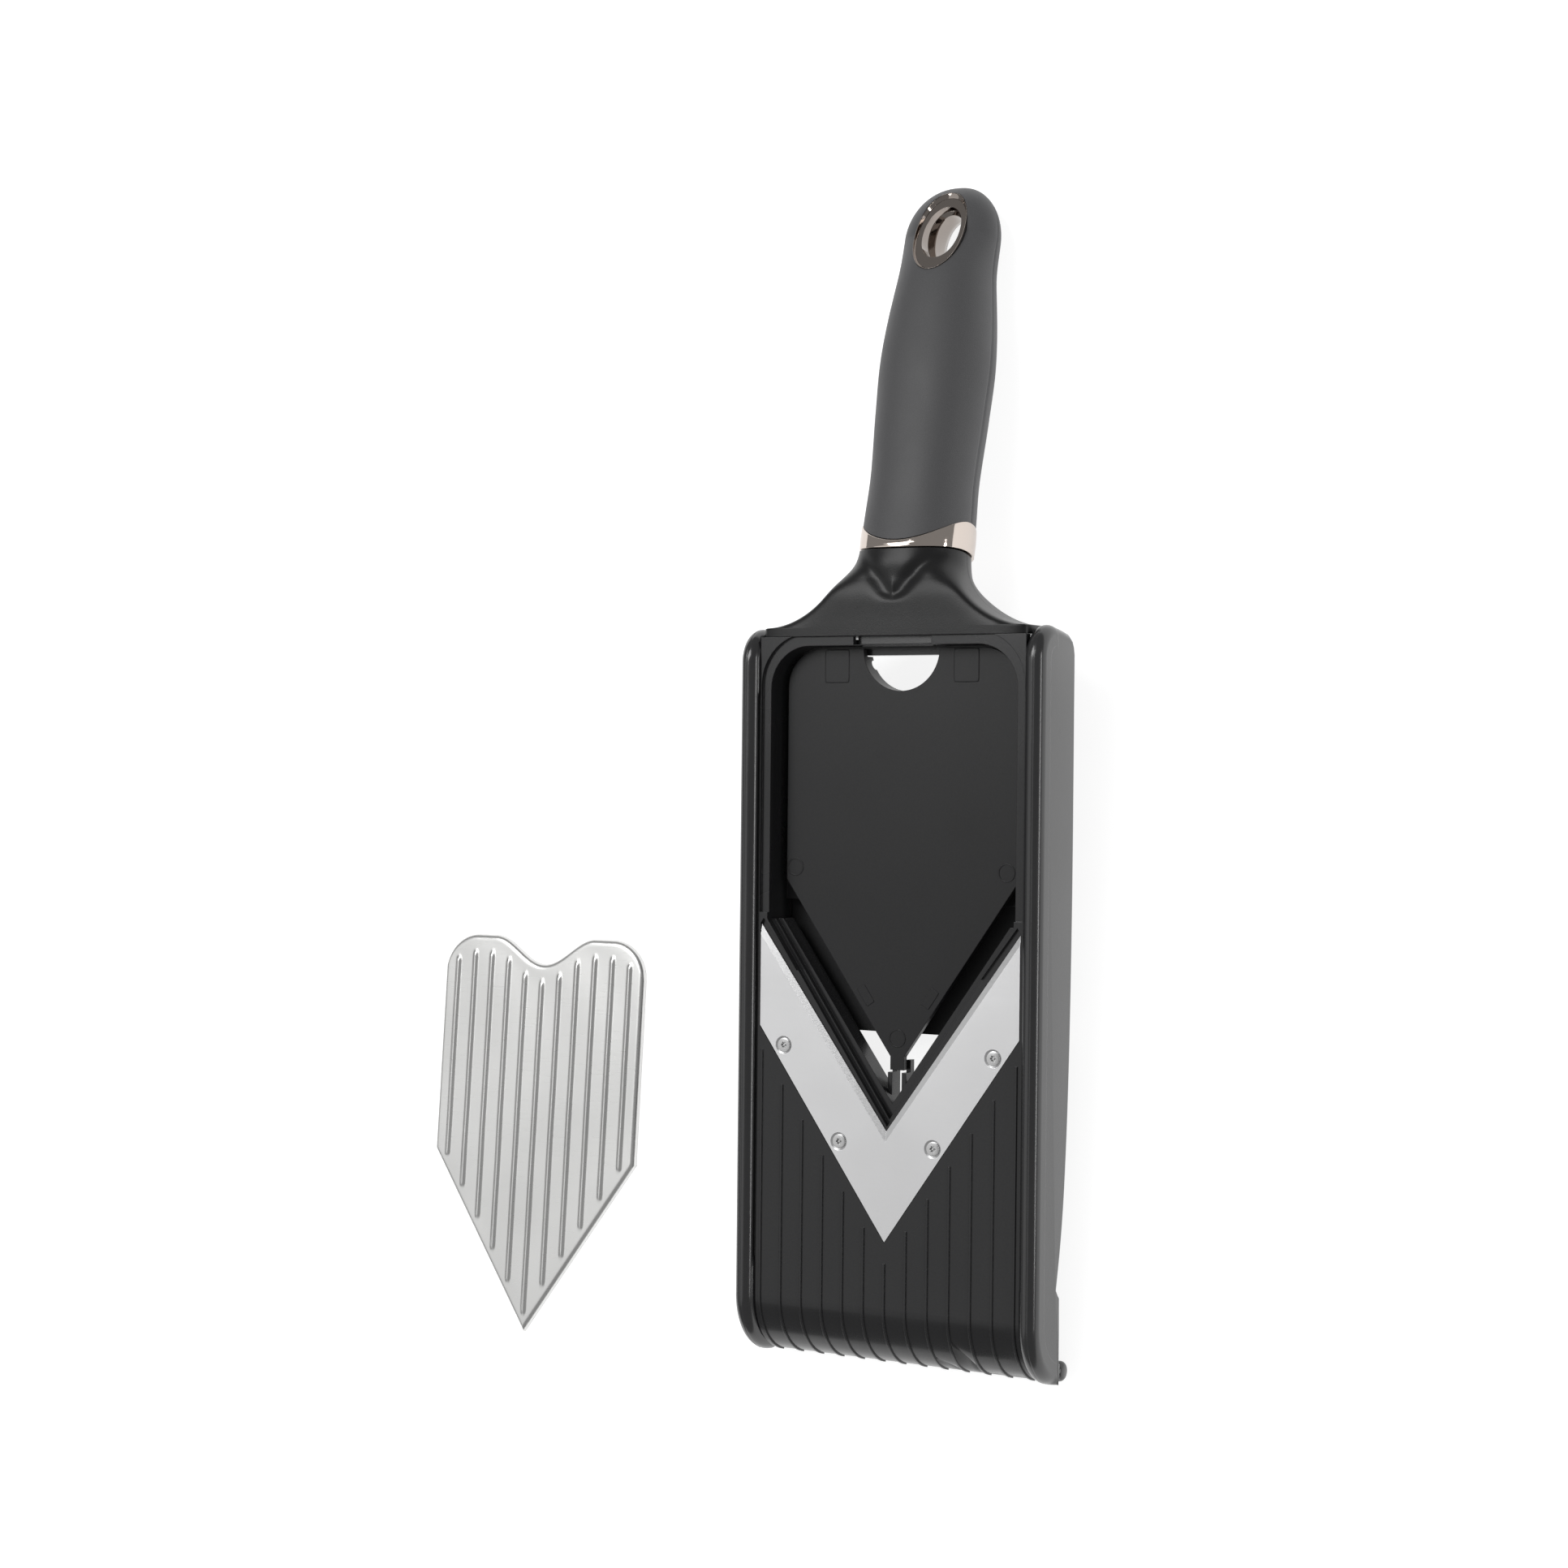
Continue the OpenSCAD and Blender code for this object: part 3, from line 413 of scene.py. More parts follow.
def make_finishes(looks):
    """Builds the shared groups, then a finish for each material slot, and a darker copy of the plating for
    the eyelet as painted shade in its funnel.
    """
    GROUPS.update(grain=group_grain(), edge=group_soft_edge(), brushed=group_brushed())
    black, soft = tuple(looks.plastic), tuple(looks.grip)
    # The factor that lightens each plastic's edges sets a painted edge highlight
    FINISHES.update(
        frame_plastic=moulded("deck_black", black, 0.2, 0.3, 1400, 0.0000015, edge_highlight=1.4, coat=0.1,
                             specular=0.36),
        rail_plastic=moulded("rail_gloss_black", black, 0.17, 0.25, 700, 0.000001, edge=0.0004, coat=0.1,
                            specular=0.7),
        textured_plastic=moulded("neck_textured_black", lighter(black, 0.5), 0.3, 0.38, 2600, 0.00003,
                                specular=0.34),
        inner_plastic=moulded("inner_matte_black", black, 0.5, 0.62, 1800, 0.00002),
        ramp_plastic=moulded("ramp_satin_charcoal", lighter(black, 0.9), 0.3, 0.38, 1600, 0.000008,
                            specular=0.3),
        cam_plastic=moulded("cam_acetal", COLOURS["cam_plastic"], 0.35, 0.5, 1200, 0.00001, edge_highlight=1.1),
        soft_grip=moulded("grip_soft_touch", lighter(soft, 1.5), 0.5, 0.6, 3200, 0.00005, edge_highlight=1.5),
        blade_steel=metal("blade_satin_steel", tuple(looks.steel), 0.28, 0.38, 3000, 40, 0.000002),
        plate_steel=metal("plate_polished_steel", lighter(COLOURS["plate_steel"], 1.1), 0.27, 0.33, 3000, 60,
                          0.0000002),
        screw_steel=metal("screw_bright_steel", COLOURS["screw_steel"], 0.2, 0.32, 2500, 300, 0.000002),
        spring_steel=metal("spring_blue_steel", COLOURS["spring_steel"], 0.25, 0.4, 2500, 80, 0.000002),
        # Painted shade: the eyelet gets the collar's plating at 0.55 of its colour, for the shade in its deep
        # funnel
        eyelet_chrome=metal("eyelet_painted_shade_plating", lighter(looks.chrome, 0.55), 0.04, 0.09, 600, 60,
                            0.0000005),
        dark_chrome=metal("collar_dark_chrome", tuple(looks.chrome), 0.04, 0.09, 600, 60, 0.0000005),
    )


# Sizes

def metres(name, description, default):
    """A length property, in metres."""
    return FloatProperty(name=name, description=description, default=default, unit="LENGTH")


def degrees(name, description, default):
    """An angle property whose default is given in degrees."""
    return FloatProperty(name=name, description=description, default=np.radians(default), subtype="ANGLE")


def tint(name, description, default):
    """A colour property."""
    return FloatVectorProperty(name=name, description=description, default=default, subtype="COLOR",
                               min=0, max=1)


class SlicerFinishes(bpy.types.PropertyGroup):
    """Colours of the main finishes."""

    plastic: tint("Black plastic", "Colour of the moulded body", COLOURS["frame_plastic"])
    grip: tint("Grip", "Colour of the soft overmould", COLOURS["soft_grip"])
    steel: tint("Blade steel", "Colour of the blade", (0.76, 0.76, 0.765))
    chrome: tint("Dark chrome", "Colour of the collar and eyelets", (0.62, 0.55, 0.5))


class SlicerGrip(bpy.types.PropertyGroup):
    """Sizes of the grip, the collar and the eyelet."""

    length: metres("Length", "Collar to the end of the handle", 0.127)
    collar_low: metres("Collar height", "Height of the collar at the front", 0.0028)
    wave_radius: metres("Collar wave", "Radius of its curved edge", 0.0287)
    collar_half_w: metres("Collar half width", "Half width of the collar", 0.0191)
    collar_half_t: metres("Collar half thickness", "Half thickness of the collar", 0.0162)
    drop: metres("Collar drop", "How far it sits down over the neck", 0.0027)
    front_drop: metres("Front drop", "How much lower the front edge is", 0.0024)
    eye_half_w: metres("Hole half width", "Half width of the hanging hole", 0.0055)
    eye_half_l: metres("Hole half length", "Half length of the hanging hole", 0.009)
    rim_half_w: metres("Rim half width", "Half width of the eyelet's rim", 0.0088)
    rim_half_l: metres("Rim half length", "Half length of the eyelet's rim", 0.0152)
    eye_tilt: degrees("Eyelet tilt", "Slope of the rim on the bulb", 17.0)


class SlicerNeck(bpy.types.PropertyGroup):
    """Sizes of the neck, in the slicer's own axes."""

    start: metres("Start", "Where the neck meets the bezel", 0.00305)
    half_w: metres("Half width", "Half width between the rails", 0.04795)
    shoulder: metres("Shoulder", "Radius of the shoulders", 0.03)
    arc_x: metres("Arc across", "Shoulder's centre across", 0.0484)
    arc_y: metres("Arc along", "Shoulder's centre along", 0.036)
    split: metres("Parting depth", "Depth at the body", 0.011)
    back: metres("Cover depth", "Depth of the back cover", 0.0113)
    collar_t: metres("Half thickness", "Half thickness at the collar", 0.0157)
    keel_y: metres("Keel point", "Where it comes to a point", 0.0148)
    keel_deep: metres("Keel depth", "Depth of its two valleys", 0.0012)


class SlicerRails(bpy.types.PropertyGroup):
    """Sizes of the side rails, in the slicer's own axes."""

    bar_w: metres("Bar width", "Width along the top", 0.0068)
    proud: metres("Height", "Height above the deck", 0.003)
    wall_t: metres("Wall", "Thickness of the wall", 0.003)
    end_y: metres("Handle end", "Where the rail ends by the neck", 0.006)
    end_radius: metres("End radius", "Radius of the handle end", 0.0112)
    curl_y: metres("Curl", "Where the deck starts to curl", -0.21499)
    curl_radius: metres("Curl radius", "Rail's radius round the curl", 0.0215)
    foot_y: metres("Foot along", "Foot bead's centre along", -0.23289)
    foot_z: metres("Foot depth", "Foot bead's centre below the deck", -0.021)
    foot_r: metres("Foot radius", "Radius of the foot bead", 0.0033)


class SlicerPlate(bpy.types.PropertyGroup):
    """Sizes of the pressed feed plate."""

    sheet: metres("Sheet", "Sheet thickness", 0.0008)
    rim: metres("Rim", "Depth of the folded rim", 0.003)
    fold: metres("Fold", "Radius of the edge's fold", 0.0018)
    corner: metres("Corner", "Radius of the top corners", 0.014)
    v_angle: degrees("V half angle", "Half angle of the V point", 34.6)
    notch_w: metres("Notch half width", "Half width of the scooped notch", 0.0215)
    notch_deep: metres("Notch depth", "Depth of the scooped notch", 0.0098)
    rib_pitch: metres("Rib pitch", "Distance between ribs", 0.0074)
    rib_h: metres("Rib height", "Height of a rib", 0.0006)
    rib_half_w: metres("Rib half width", "Half width of a rib", 0.0014)
    rib_inset: metres("Rib inset", "From a rib's lower end to the V edge", 0.0075)


class SlicerBlade(bpy.types.PropertyGroup):
    """Sizes of the blade screws."""

    head: metres("Head", "Diameter of the head", 0.0048)
    inner_screw: metres("Inner screws", "Middle to the inner screws", 0.017)
    outer_angle: degrees("Limb angle", "Half angle of the outer edges", 34.6)


class SlicerRamp(bpy.types.PropertyGroup):
    """Sizes of the marks on the ramp."""

    mark_h: metres("Mark height", "Height of the moulding marks", 0.00012)


class SlicerStage(bpy.types.PropertyGroup):
    """The studio's camera and lights."""

    lens: FloatProperty(name="Lens", description="Focal length in millimetres", default=62.98)
    yaw: degrees("Yaw", "Camera's turn to the object's right", 29.0)
    rise: degrees("Rise", "Camera's rise towards the handle", 0.387)
    roll: degrees("Roll", "Camera's roll", 0.593)
    spot: FloatVectorProperty(name="Place", description="Camera's place in the slicer's own axes",
                              default=(0.4002, -0.0394, 0.7919), subtype="TRANSLATION")
    floor: metres("Floor", "Width of the floor", 8.0)


# Pieces

class SLICER_OT_finish_frame(bpy.types.Operator):
    """Gives every CAD node the finish of its material slot"""

    bl_idname = "slicer.finish_frame"
    bl_label = "Finish the frame"

    def execute(self, context):
        make_finishes(context.scene.slicer_finishes)
        for name, node in frame["nodes"].items():
            node.data.materials.clear()
            node.data.materials.append(FINISHES[SLOTS[name]])
        return {"FINISHED"}


def wave_end(x, sizes):
    """Where the collar meets the grip: an arc, low at the front and back, high at the sides."""
    x = np.clip(x, -sizes.collar_half_w, sizes.collar_half_w)
    return sizes.collar_low + sizes.wave_radius - np.sqrt(sizes.wave_radius**2 - x**2)


def collar_drop(z, sizes):
    """How far the collar's edges lie below their planes: more at the front, as (z / half thickness)^2."""
    return sizes.drop + sizes.front_drop * np.clip(z / sizes.collar_half_t, 0, 1) ** 2


def hang_oval(sizes, flare, out, count=128):
    """Outline of the hanging hole: a soft oval that goes to the eyelet's rim with flare, grown by `out`."""
    half_w = sizes.eye_half_w + flare * (sizes.rim_half_w - sizes.eye_half_w) + out
    half_l = sizes.eye_half_l + flare * (sizes.rim_half_l - sizes.eye_half_l) + out
    return np.column_stack(oval_point(full_turn(count), half_w, half_l, 2.15))


class SLICER_OT_grip(bpy.types.Operator):
    """Builds the soft grip: an oval loft with a belly, a waist and a rounded bulb"""

    bl_idname = "slicer.grip"
    bl_label = "Soft grip"

    def execute(self, context):
        sizes = context.scene.slicer_grip
        bulb = sizes.length - 0.02
        station = [0, 0.022, 0.045, 0.063, 0.077, 0.084, 0.095, bulb]
        half_w = [0.0187, 0.0182, 0.0191, 0.0195, 0.0185, 0.0177, 0.0166, 0.0169]
        front = [0.0158, 0.0155, 0.0161, 0.0163, 0.0158, 0.0152, 0.0136, 0.0094]
        back = [0.0158, 0.0155, 0.0162, 0.0164, 0.0157, 0.0150, 0.0133, 0.01245]
        along = np.linspace(0, bulb, 150)
        turn = np.linspace(0, np.pi / 2, 36)[1:-1]
        y = np.concatenate([along, bulb + (sizes.length - bulb) * np.sin(turn)])
        close = np.concatenate([np.ones(len(along)), np.cos(turn)])
        inside = np.minimum(y, bulb)
        angle = full_turn(240)
        w = (ease_through(inside, station, half_w) * close)[:, None]
        up = np.sin(angle)[None, :] > 0
        front, back = (ease_through(inside, station, depth)[:, None] for depth in (front, back))
        t = np.where(up, front, back)
        x, z = oval_point(angle[None, :], w, t * close[:, None], 2.2)
        z = z - 0.0034 * (1 - close[:, None])
        part = 1 - 0.018 * np.exp(-(np.minimum(angle, 2 * np.pi - angle) / 0.026) ** 2)[None, :]
        part = part * (1 - 0.018 * np.exp(-((angle - np.pi) / 0.026) ** 2))[None, :]
        x, z = x * part, z * part
        lift = (wave_end(x[0], sizes) - collar_drop(z[0], sizes) + 0.00005)[None, :]
        y = y[:, None] + lift * (1 - smooth_step(y, 0.0, 0.03))[:, None]
        grip = new_piece("grip", [closed_skin(on_handle(np.stack([x, y, z], -1)))])
        bore = []
        for flare, height in ((0.46, -0.03), (0.46, -0.0106), (0.02, 0.0005), (0.02, 0.03)):
            bore.append(at_height(hang_oval(sizes, flare, 0.00125) + (0, bulb), height))
        wide = hang_oval(sizes, 1.0, 0.0003)
        slope = -np.tan(sizes.eye_tilt) * wide[:, 1]
        seat = np.stack([at_height(wide + (0, bulb), height + slope) for height in (0.0081, 0.03)])
        cut_away(grip, [closed_skin(on_handle(np.stack(bore))), closed_skin(on_handle(seat))])
        place(grip, "slicer", "soft_grip", "handle_grip")
        return {"FINISHED"}


class SLICER_OT_collar(bpy.types.Operator):
    """Builds the plated collar: a rounded band round the handle with a waved edge"""

    bl_idname = "slicer.collar"
    bl_label = "Plated collar"

    def execute(self, context):
        sizes = context.scene.slicer_grip
        angle = full_turn(192)
        # Band section, all round: outward offset, share of the height, and a fixed step along the handle
        section = np.array([
            (-0.0022, 0, 0.0001), (-0.0006, 0, 0.0001), (-0.0002, 0, 0.00015), (0.0000, 0, 0.0004),
            (0.0001, 0.25, 0.0003), (0.00015, 0.5, 0), (0.0001, 0.75, -0.0003), (0.0000, 1, -0.0005),
            (-0.0002, 1, -0.0002), (-0.0006, 1, -0.0001), (-0.0022, 1, -0.0001)])
        knots = np.arange(len(section))
        fine = np.linspace(0, len(section) - 1, 61)
        out, share, step = (ease_through(fine, knots, column) for column in section.T)
        x0, z0 = oval_point(angle, sizes.collar_half_w, sizes.collar_half_t, 2.2)
        ahead = np.column_stack([np.roll(x0, -1) - np.roll(x0, 1), np.roll(z0, -1) - np.roll(z0, 1)])
        normal = np.column_stack([ahead[:, 1], -ahead[:, 0]]) / np.linalg.norm(ahead, axis=1)[:, None]
        height = wave_end(x0, sizes)
        x = x0[None, :] + out[:, None] * normal[None, :, 0]
        z = z0[None, :] + out[:, None] * normal[None, :, 1]
        y = share[:, None] * height[None, :] + step[:, None] - collar_drop(z0, sizes)[None, :]
        collar = new_piece("collar", [closed_skin(on_handle(np.stack([x, y, z], -1)), wrap_rows=True)])
        place(collar, "slicer", "dark_chrome", "collar_ring")
        return {"FINISHED"}


class SLICER_OT_eyelets(bpy.types.Operator):
    """Builds the two halves of the plated eyelet: a flared oval mouth and a plain sleeve behind it"""

    bl_idname = "slicer.eyelets"
    bl_label = "Plated eyelets"

    def execute(self, context):
        sizes = context.scene.slicer_grip
        bulb = sizes.length - 0.02
        slope = np.tan(sizes.eye_tilt)

        def ring(section):
            """Loops of the hole's outline, one for each (flare, outward, height, share of the slope)."""
            rows = []
            for flare, out, height, share in section:
                loop = hang_oval(sizes, flare, out)
                rows.append(at_height(loop + (0, bulb), height - share * slope * loop[:, 1]))
            return closed_skin(on_handle(np.stack(rows)), wrap_rows=True)

        mouth_t = np.linspace(0, np.pi / 2, 28)
        mouth = [(np.sin(t), 0, 0.0012 + 0.0084 * np.sin(t), np.sin(t)) for t in mouth_t]
        lip_t = np.linspace(0, np.pi, 9)[1:]
        lip = [(1, 0.0001 - 0.0001 * np.cos(t), 0.0096 + 0.0002 * np.sin(t), 1) for t in lip_t]
        outside = [(1, 0.0002, 0.0086, 1), (0, 0.0012, 0.0084, 1), (0, 0.0012, 0.0006, 0)]
        front = [(0, 0, 0.0005, 0)] + mouth + lip + outside
        back = [(0, 0.0002, 0.00045, 0), (0.08, 0, -0.003, 0), (0.22, 0, -0.007, 0), (0.4, 0, -0.0101, 0),
                (0.42, 0.0004, -0.0106, 0), (0.46, 0.0011, -0.0103, 0), (0.02, 0.0012, 0.00045, 0)]
        # Both halves take the darker copy of the plating: painted shade in the hanging hole
        eye = new_piece("eyelet_mouth", [ring(front)])
        place(eye, "slicer", "dark_chrome", "eyelet_front", finish="eyelet_chrome")
        sleeve = new_piece("eyelet_sleeve", [ring(back)])
        place(sleeve, "slicer", "dark_chrome", "eyelet_back", finish="eyelet_chrome")
        return {"FINISHED"}


class SLICER_OT_neck(bpy.types.Operator):
    """Builds the neck's two shells: oval at the collar, spreading through concave shoulders to the body"""

    bl_idname = "slicer.neck"
    bl_label = "Neck shells"

    def execute(self, context):
        sizes, collar = context.scene.slicer_neck, context.scene.slicer_grip
        bend = PITCH - HANDLE_TURN
        box_power, back_power, oval_power = 11.0, 6.0, 2.2
        # Stations: a short straight, then even steps round the concave shoulder
        turn = np.linspace(np.radians(2), np.radians(83.6), 90)
        y = np.concatenate([np.linspace(sizes.start, 0.0058, 8), sizes.arc_y - sizes.shoulder * np.cos(turn)])
        half_w = np.concatenate([np.full(8, sizes.half_w),
                                 np.minimum(sizes.half_w, sizes.arc_x - sizes.shoulder * np.sin(turn))])
        share = smooth_step(y, 0.008, y[-1])[:, None]
        split = -sizes.split - 0.0079 * smooth_step(y, 0.008, y[-1] + 0.006)[:, None]
        lean = bend * share
        across = np.sin(np.linspace(-np.pi / 2, np.pi / 2, 181))[None, :]
        # The front falls away with the bend: a straight line eased in over `soft`
        half_depth, bend_y, soft = 0.0145, 0.0185, 0.004
        past = y[:, None] + half_depth * np.sin(lean) - bend_y
        fall = np.tan(bend) * 0.5 * (past + np.sqrt(past**2 + soft**2))
        depth = (-fall - split) / np.cos(lean)
        depth = depth + (sizes.collar_t - depth[-1]) * smooth_step(share, 0.6, 1.0)
        power = box_power * (oval_power / box_power) ** smooth_step(share, 0.25, 1.0)
        x, up = half_w[:, None] * across, depth * (1 - np.abs(across) ** power) ** (1 / power)
        # The keel: two valleys that run down from the collar and meet in a point
        from_apex = y[:, None] - sizes.keel_y
        keel_slope, keel_width = 0.78, 0.0034
        off_line = (np.abs(x) - keel_slope * np.maximum(from_apex, 0)) / keel_width
        inside = smooth_step(from_apex, -0.001, 0.003) * (1 - smooth_step(from_apex, 0.0105, 0.0185))
        up = up - sizes.keel_deep * inside * np.exp(-off_line**2) * (up > 0.4 * depth)
        # The top edge follows the collar's down, along the handle
        down = collar_drop(up, collar) * share
        front = self.shell(x, y[:, None] + up * np.sin(lean) - down * np.cos(bend),
                           split + up * np.cos(lean) + down * np.sin(bend))
        neck = new_piece("neck_face", [front], sharp=50)
        tab = node_box("plate_latch")
        low, high = tab[0] - 0.0003, tab[1] + (0.0003, 0.0028, 0.0003)
        cut_away(neck, [lay_shell(block_shell((low[0], 0.0, low[2]), tuple(high)))], sharp=50)
        place(neck, "slicer", "textured_plastic", "neck_front")

        power = back_power * (oval_power / back_power) ** smooth_step(share, 0, 0.8)
        deep = sizes.back + (sizes.collar_t - sizes.back) * smooth_step(share, 0.3, 1.0)
        deep = deep * (1 - np.abs(across) ** power) ** (1 / power)
        down, seam = collar.drop * share, 0.00008
        back = self.shell(x, y[:, None] - deep * np.sin(lean) - down * np.cos(bend),
                          split - seam + down * np.sin(bend) - deep * np.cos(lean))
        cover = new_piece("neck_cover", [back], sharp=50)
        outer_screw, inner_screw, screw_r = (0.034, 0.0052), (0.0175, 0.014), 0.0026
        holes = [lay_shell(rod_shell((side * screw[0], screw[1]), screw_r, -0.03, -0.0193))
                 for screw in (outer_screw, inner_screw) for side in (-1, 1)]
        cut_away(cover, holes, sharp=50)
        place(cover, "slicer", "textured_plastic", "neck_back_cover")
        return {"FINISHED"}

    @staticmethod
    def shell(x, y, z):
        """Closes rows of half sections with a flat side: each row runs over the arc and straight back."""
        rows = np.stack(np.broadcast_arrays(x, y, z), -1)
        share = np.linspace(0, 1, 26)[1:-1][None, :, None]
        flat = rows[:, -1:, :] * (1 - share) + rows[:, :1, :] * share
        return closed_skin(lay_down(np.concatenate([rows, flat], 1)))


class SLICER_OT_rails(bpy.types.Operator):
    """Builds the two side rails: a rounded bar that wraps both ends, on a wall with soft edges"""

    bl_idname = "slicer.rails"
    bl_label = "Side rails"

    def execute(self, context):
        sizes = context.scene.slicer_rails
        for side, node in ((-1, "left_side_rail"), (1, "right_side_rail")):
            low, high = node_box(node)
            outer = max(abs(low[0]), abs(high[0]))
            inner = outer - sizes.bar_w
            shells = [self.bar(sizes, inner, outer), self.wall(sizes, outer)]
            shells += self.foot_end(sizes, inner, outer)
            rail = new_piece("rail_left" if side < 0 else "rail_right",
                             [lay_shell((points * (side, 1, 1), faces)) for points, faces in shells])
            place(rail, "slicer", "rail_plastic", node)
        return {"FINISHED"}

    @staticmethod
    def bar(sizes, inner, outer):
        """Tube along the rail's top, which turns down at the handle end and round the curl at the other."""
        r = (outer - inner) / 2
        level = sizes.proud - r
        end_r, curl_r = sizes.end_radius - r, sizes.curl_radius - r
        turn = np.linspace(np.pi / 2, 0, 28)
        bend_y = sizes.end_y - sizes.end_radius
        head = np.hstack([arc((bend_y, level - end_r), end_r, turn), arc((0, 0), 1, turn)])[::-1]
        head = np.vstack([head[0] + (0, -0.001, 0, 0), head])
        straight = np.linspace(bend_y, sizes.curl_y, 122)[1:-1]
        body = np.column_stack([straight, np.full(120, level), np.zeros(120), np.ones(120)])
        turn = np.linspace(np.pi / 2, np.pi / 2 + np.radians(84), 36)
        tail = np.hstack([arc((sizes.curl_y, level - curl_r), curl_r, turn), arc((0, 0), 1, turn)])
        path = np.vstack([head, body, tail])
        # Section: over the top, then down the inner face, which the guide groove cuts into along the deck
        over = np.linspace(0, np.pi - 0.4247, 25)
        outer_side = np.where(np.cos(over) > 0, 0.98, 1.0)
        # Inner face and bottom: across and up as shares of r, and how deep the groove is there
        face = np.array([(-0.96, 0.38, 0.0004), (-1, 0.1, 0.0006), (-1, -0.05, 0.0006), (-1, -0.08, 0),
                         (-1, -1, 0), (0.98, -1, 0)])
        out = np.concatenate([r * np.cos(over) * outer_side, r * face[:, 0]])
        up = np.concatenate([r * np.sin(over) * outer_side, r * face[:, 1]])
        cut = np.concatenate([np.zeros(25), face[:, 2]])
        groove_start, groove_stop, groove_end = sizes.curl_y + 0.011, -0.017, 0.002
        groove = smooth_step(path[:, 0], groove_start, groove_start + groove_end) * (
            1 - smooth_step(path[:, 0], groove_stop, groove_stop + groove_end)) * (path[:, 3] > 0.99)
        x = (inner + outer) / 2 + out[None, :] + cut[None, :] * groove[:, None]
        y = path[:, :1] + up[None, :] * path[:, 2:3]
        z = path[:, 1:2] + up[None, :] * path[:, 3:4]
        return closed_skin(np.stack([x, y, z], -1))

    @staticmethod
    def wall(sizes, outer):
        """Plate from the rail's side outline. Its edge is inset by r - sqrt(r^2 - d^2): r is the bar's radius
        along the top and a small one along the back, and d is how far x is into the rounding."""
        half = sizes.bar_w / 2
        end = arc((sizes.end_y - sizes.end_radius, sizes.proud - sizes.end_radius), sizes.end_radius,
                  np.radians(np.linspace(90, 0, 24)))
        curl = arc((sizes.curl_y, sizes.proud - sizes.curl_radius), sizes.curl_radius,
                   np.radians(np.linspace(175, 90, 34)))
        rear_y = np.linspace(-0.003, sizes.curl_y + 0.0094, 40)
        station = [-0.02, 0.003, 0.1, 0.135, 0.159, 0.184, 0.196, 0.2056, 0.21]
        depth = [-0.0233, -0.0233, -0.0232, -0.0222, -0.0208, -0.0182, -0.016, -0.0137, -0.0128]
        rear = ease_through(-rear_y, station, depth)
        low = np.column_stack([rear_y, rear])
        corner = np.array([[0.0048, -0.0155], [0.0038, -0.0195], [0.0018, -0.0222], [-0.0005, -0.0231]])
        step = np.array([[sizes.curl_y + 0.0078, -0.0151], [sizes.curl_y + 0.0066, -0.0163],
                         [sizes.curl_y + 0.002, -0.0164], [sizes.curl_y - 0.006, -0.0166]])
        outline = np.vstack([end, corner, low, step, curl[:-1]])
        ahead = np.roll(outline, -1, 0) - np.roll(outline, 1, 0)
        normal = np.column_stack([-ahead[:, 1], ahead[:, 0]]) / np.linalg.norm(ahead, axis=1)[:, None]
        # Edge radii round the outline: the bar's own along the top, a small one along the back
        small = 0.0009
        ease = np.linspace(half, small, 6)[1:-1]
        radius = np.concatenate([np.full(len(end), half), ease, np.full(len(low) + len(step), small),
                                 np.linspace(small, half, 5), np.full(len(curl) - 6, half)])
        inside = outer - sizes.wall_t
        rows = [np.column_stack([np.full(len(outline), inside), outline - 0.0005 * normal])]
        for x in outer - half + half * np.sin(np.radians(np.linspace(8, 90, 18))):
            into = np.clip((x - outer + radius) / radius, 0, 1)
            inset = radius - np.sqrt(radius**2 - (radius * into) ** 2)
            rows.append(np.column_stack([np.full(len(outline), x), outline - inset[:, None] * normal]))
        points = np.stack(rows)
        count = len(outline)
        faces = grid_faces(len(rows), count, False, True).tolist()
        faces.append(list(range(count))[::-1])
        faces.append([(len(rows) - 1) * count + k for k in range(count)])
        return points.reshape(-1, 3), faces

    @staticmethod
    def foot_end(sizes, inner, outer):
        """End of the foot bead in the rail: a short rod along X with a rounded outer end, and its web."""
        round_r, web_half, web_top = 0.0018, 0.0022, -0.0155
        lowest = sizes.foot_z - sizes.foot_r + 0.0003
        ends = [(inner, sizes.foot_r)]
        for t in np.linspace(0, np.pi / 2, 8)[:-1]:
            ends.append((outer - round_r + round_r * np.sin(t), sizes.foot_r - round_r * (1 - np.cos(t))))
        rows = []
        for x, r in ends:
            y, z = arc((sizes.foot_y, sizes.foot_z), r, full_turn(40)).T
            rows.append(np.column_stack([np.full(len(y), x), y, np.maximum(z, lowest)]))
        web = block_shell((inner, sizes.foot_y - web_half, sizes.foot_z),
                          (outer - 0.0008, sizes.foot_y + web_half, web_top))
        return [closed_skin(np.stack(rows)), web]


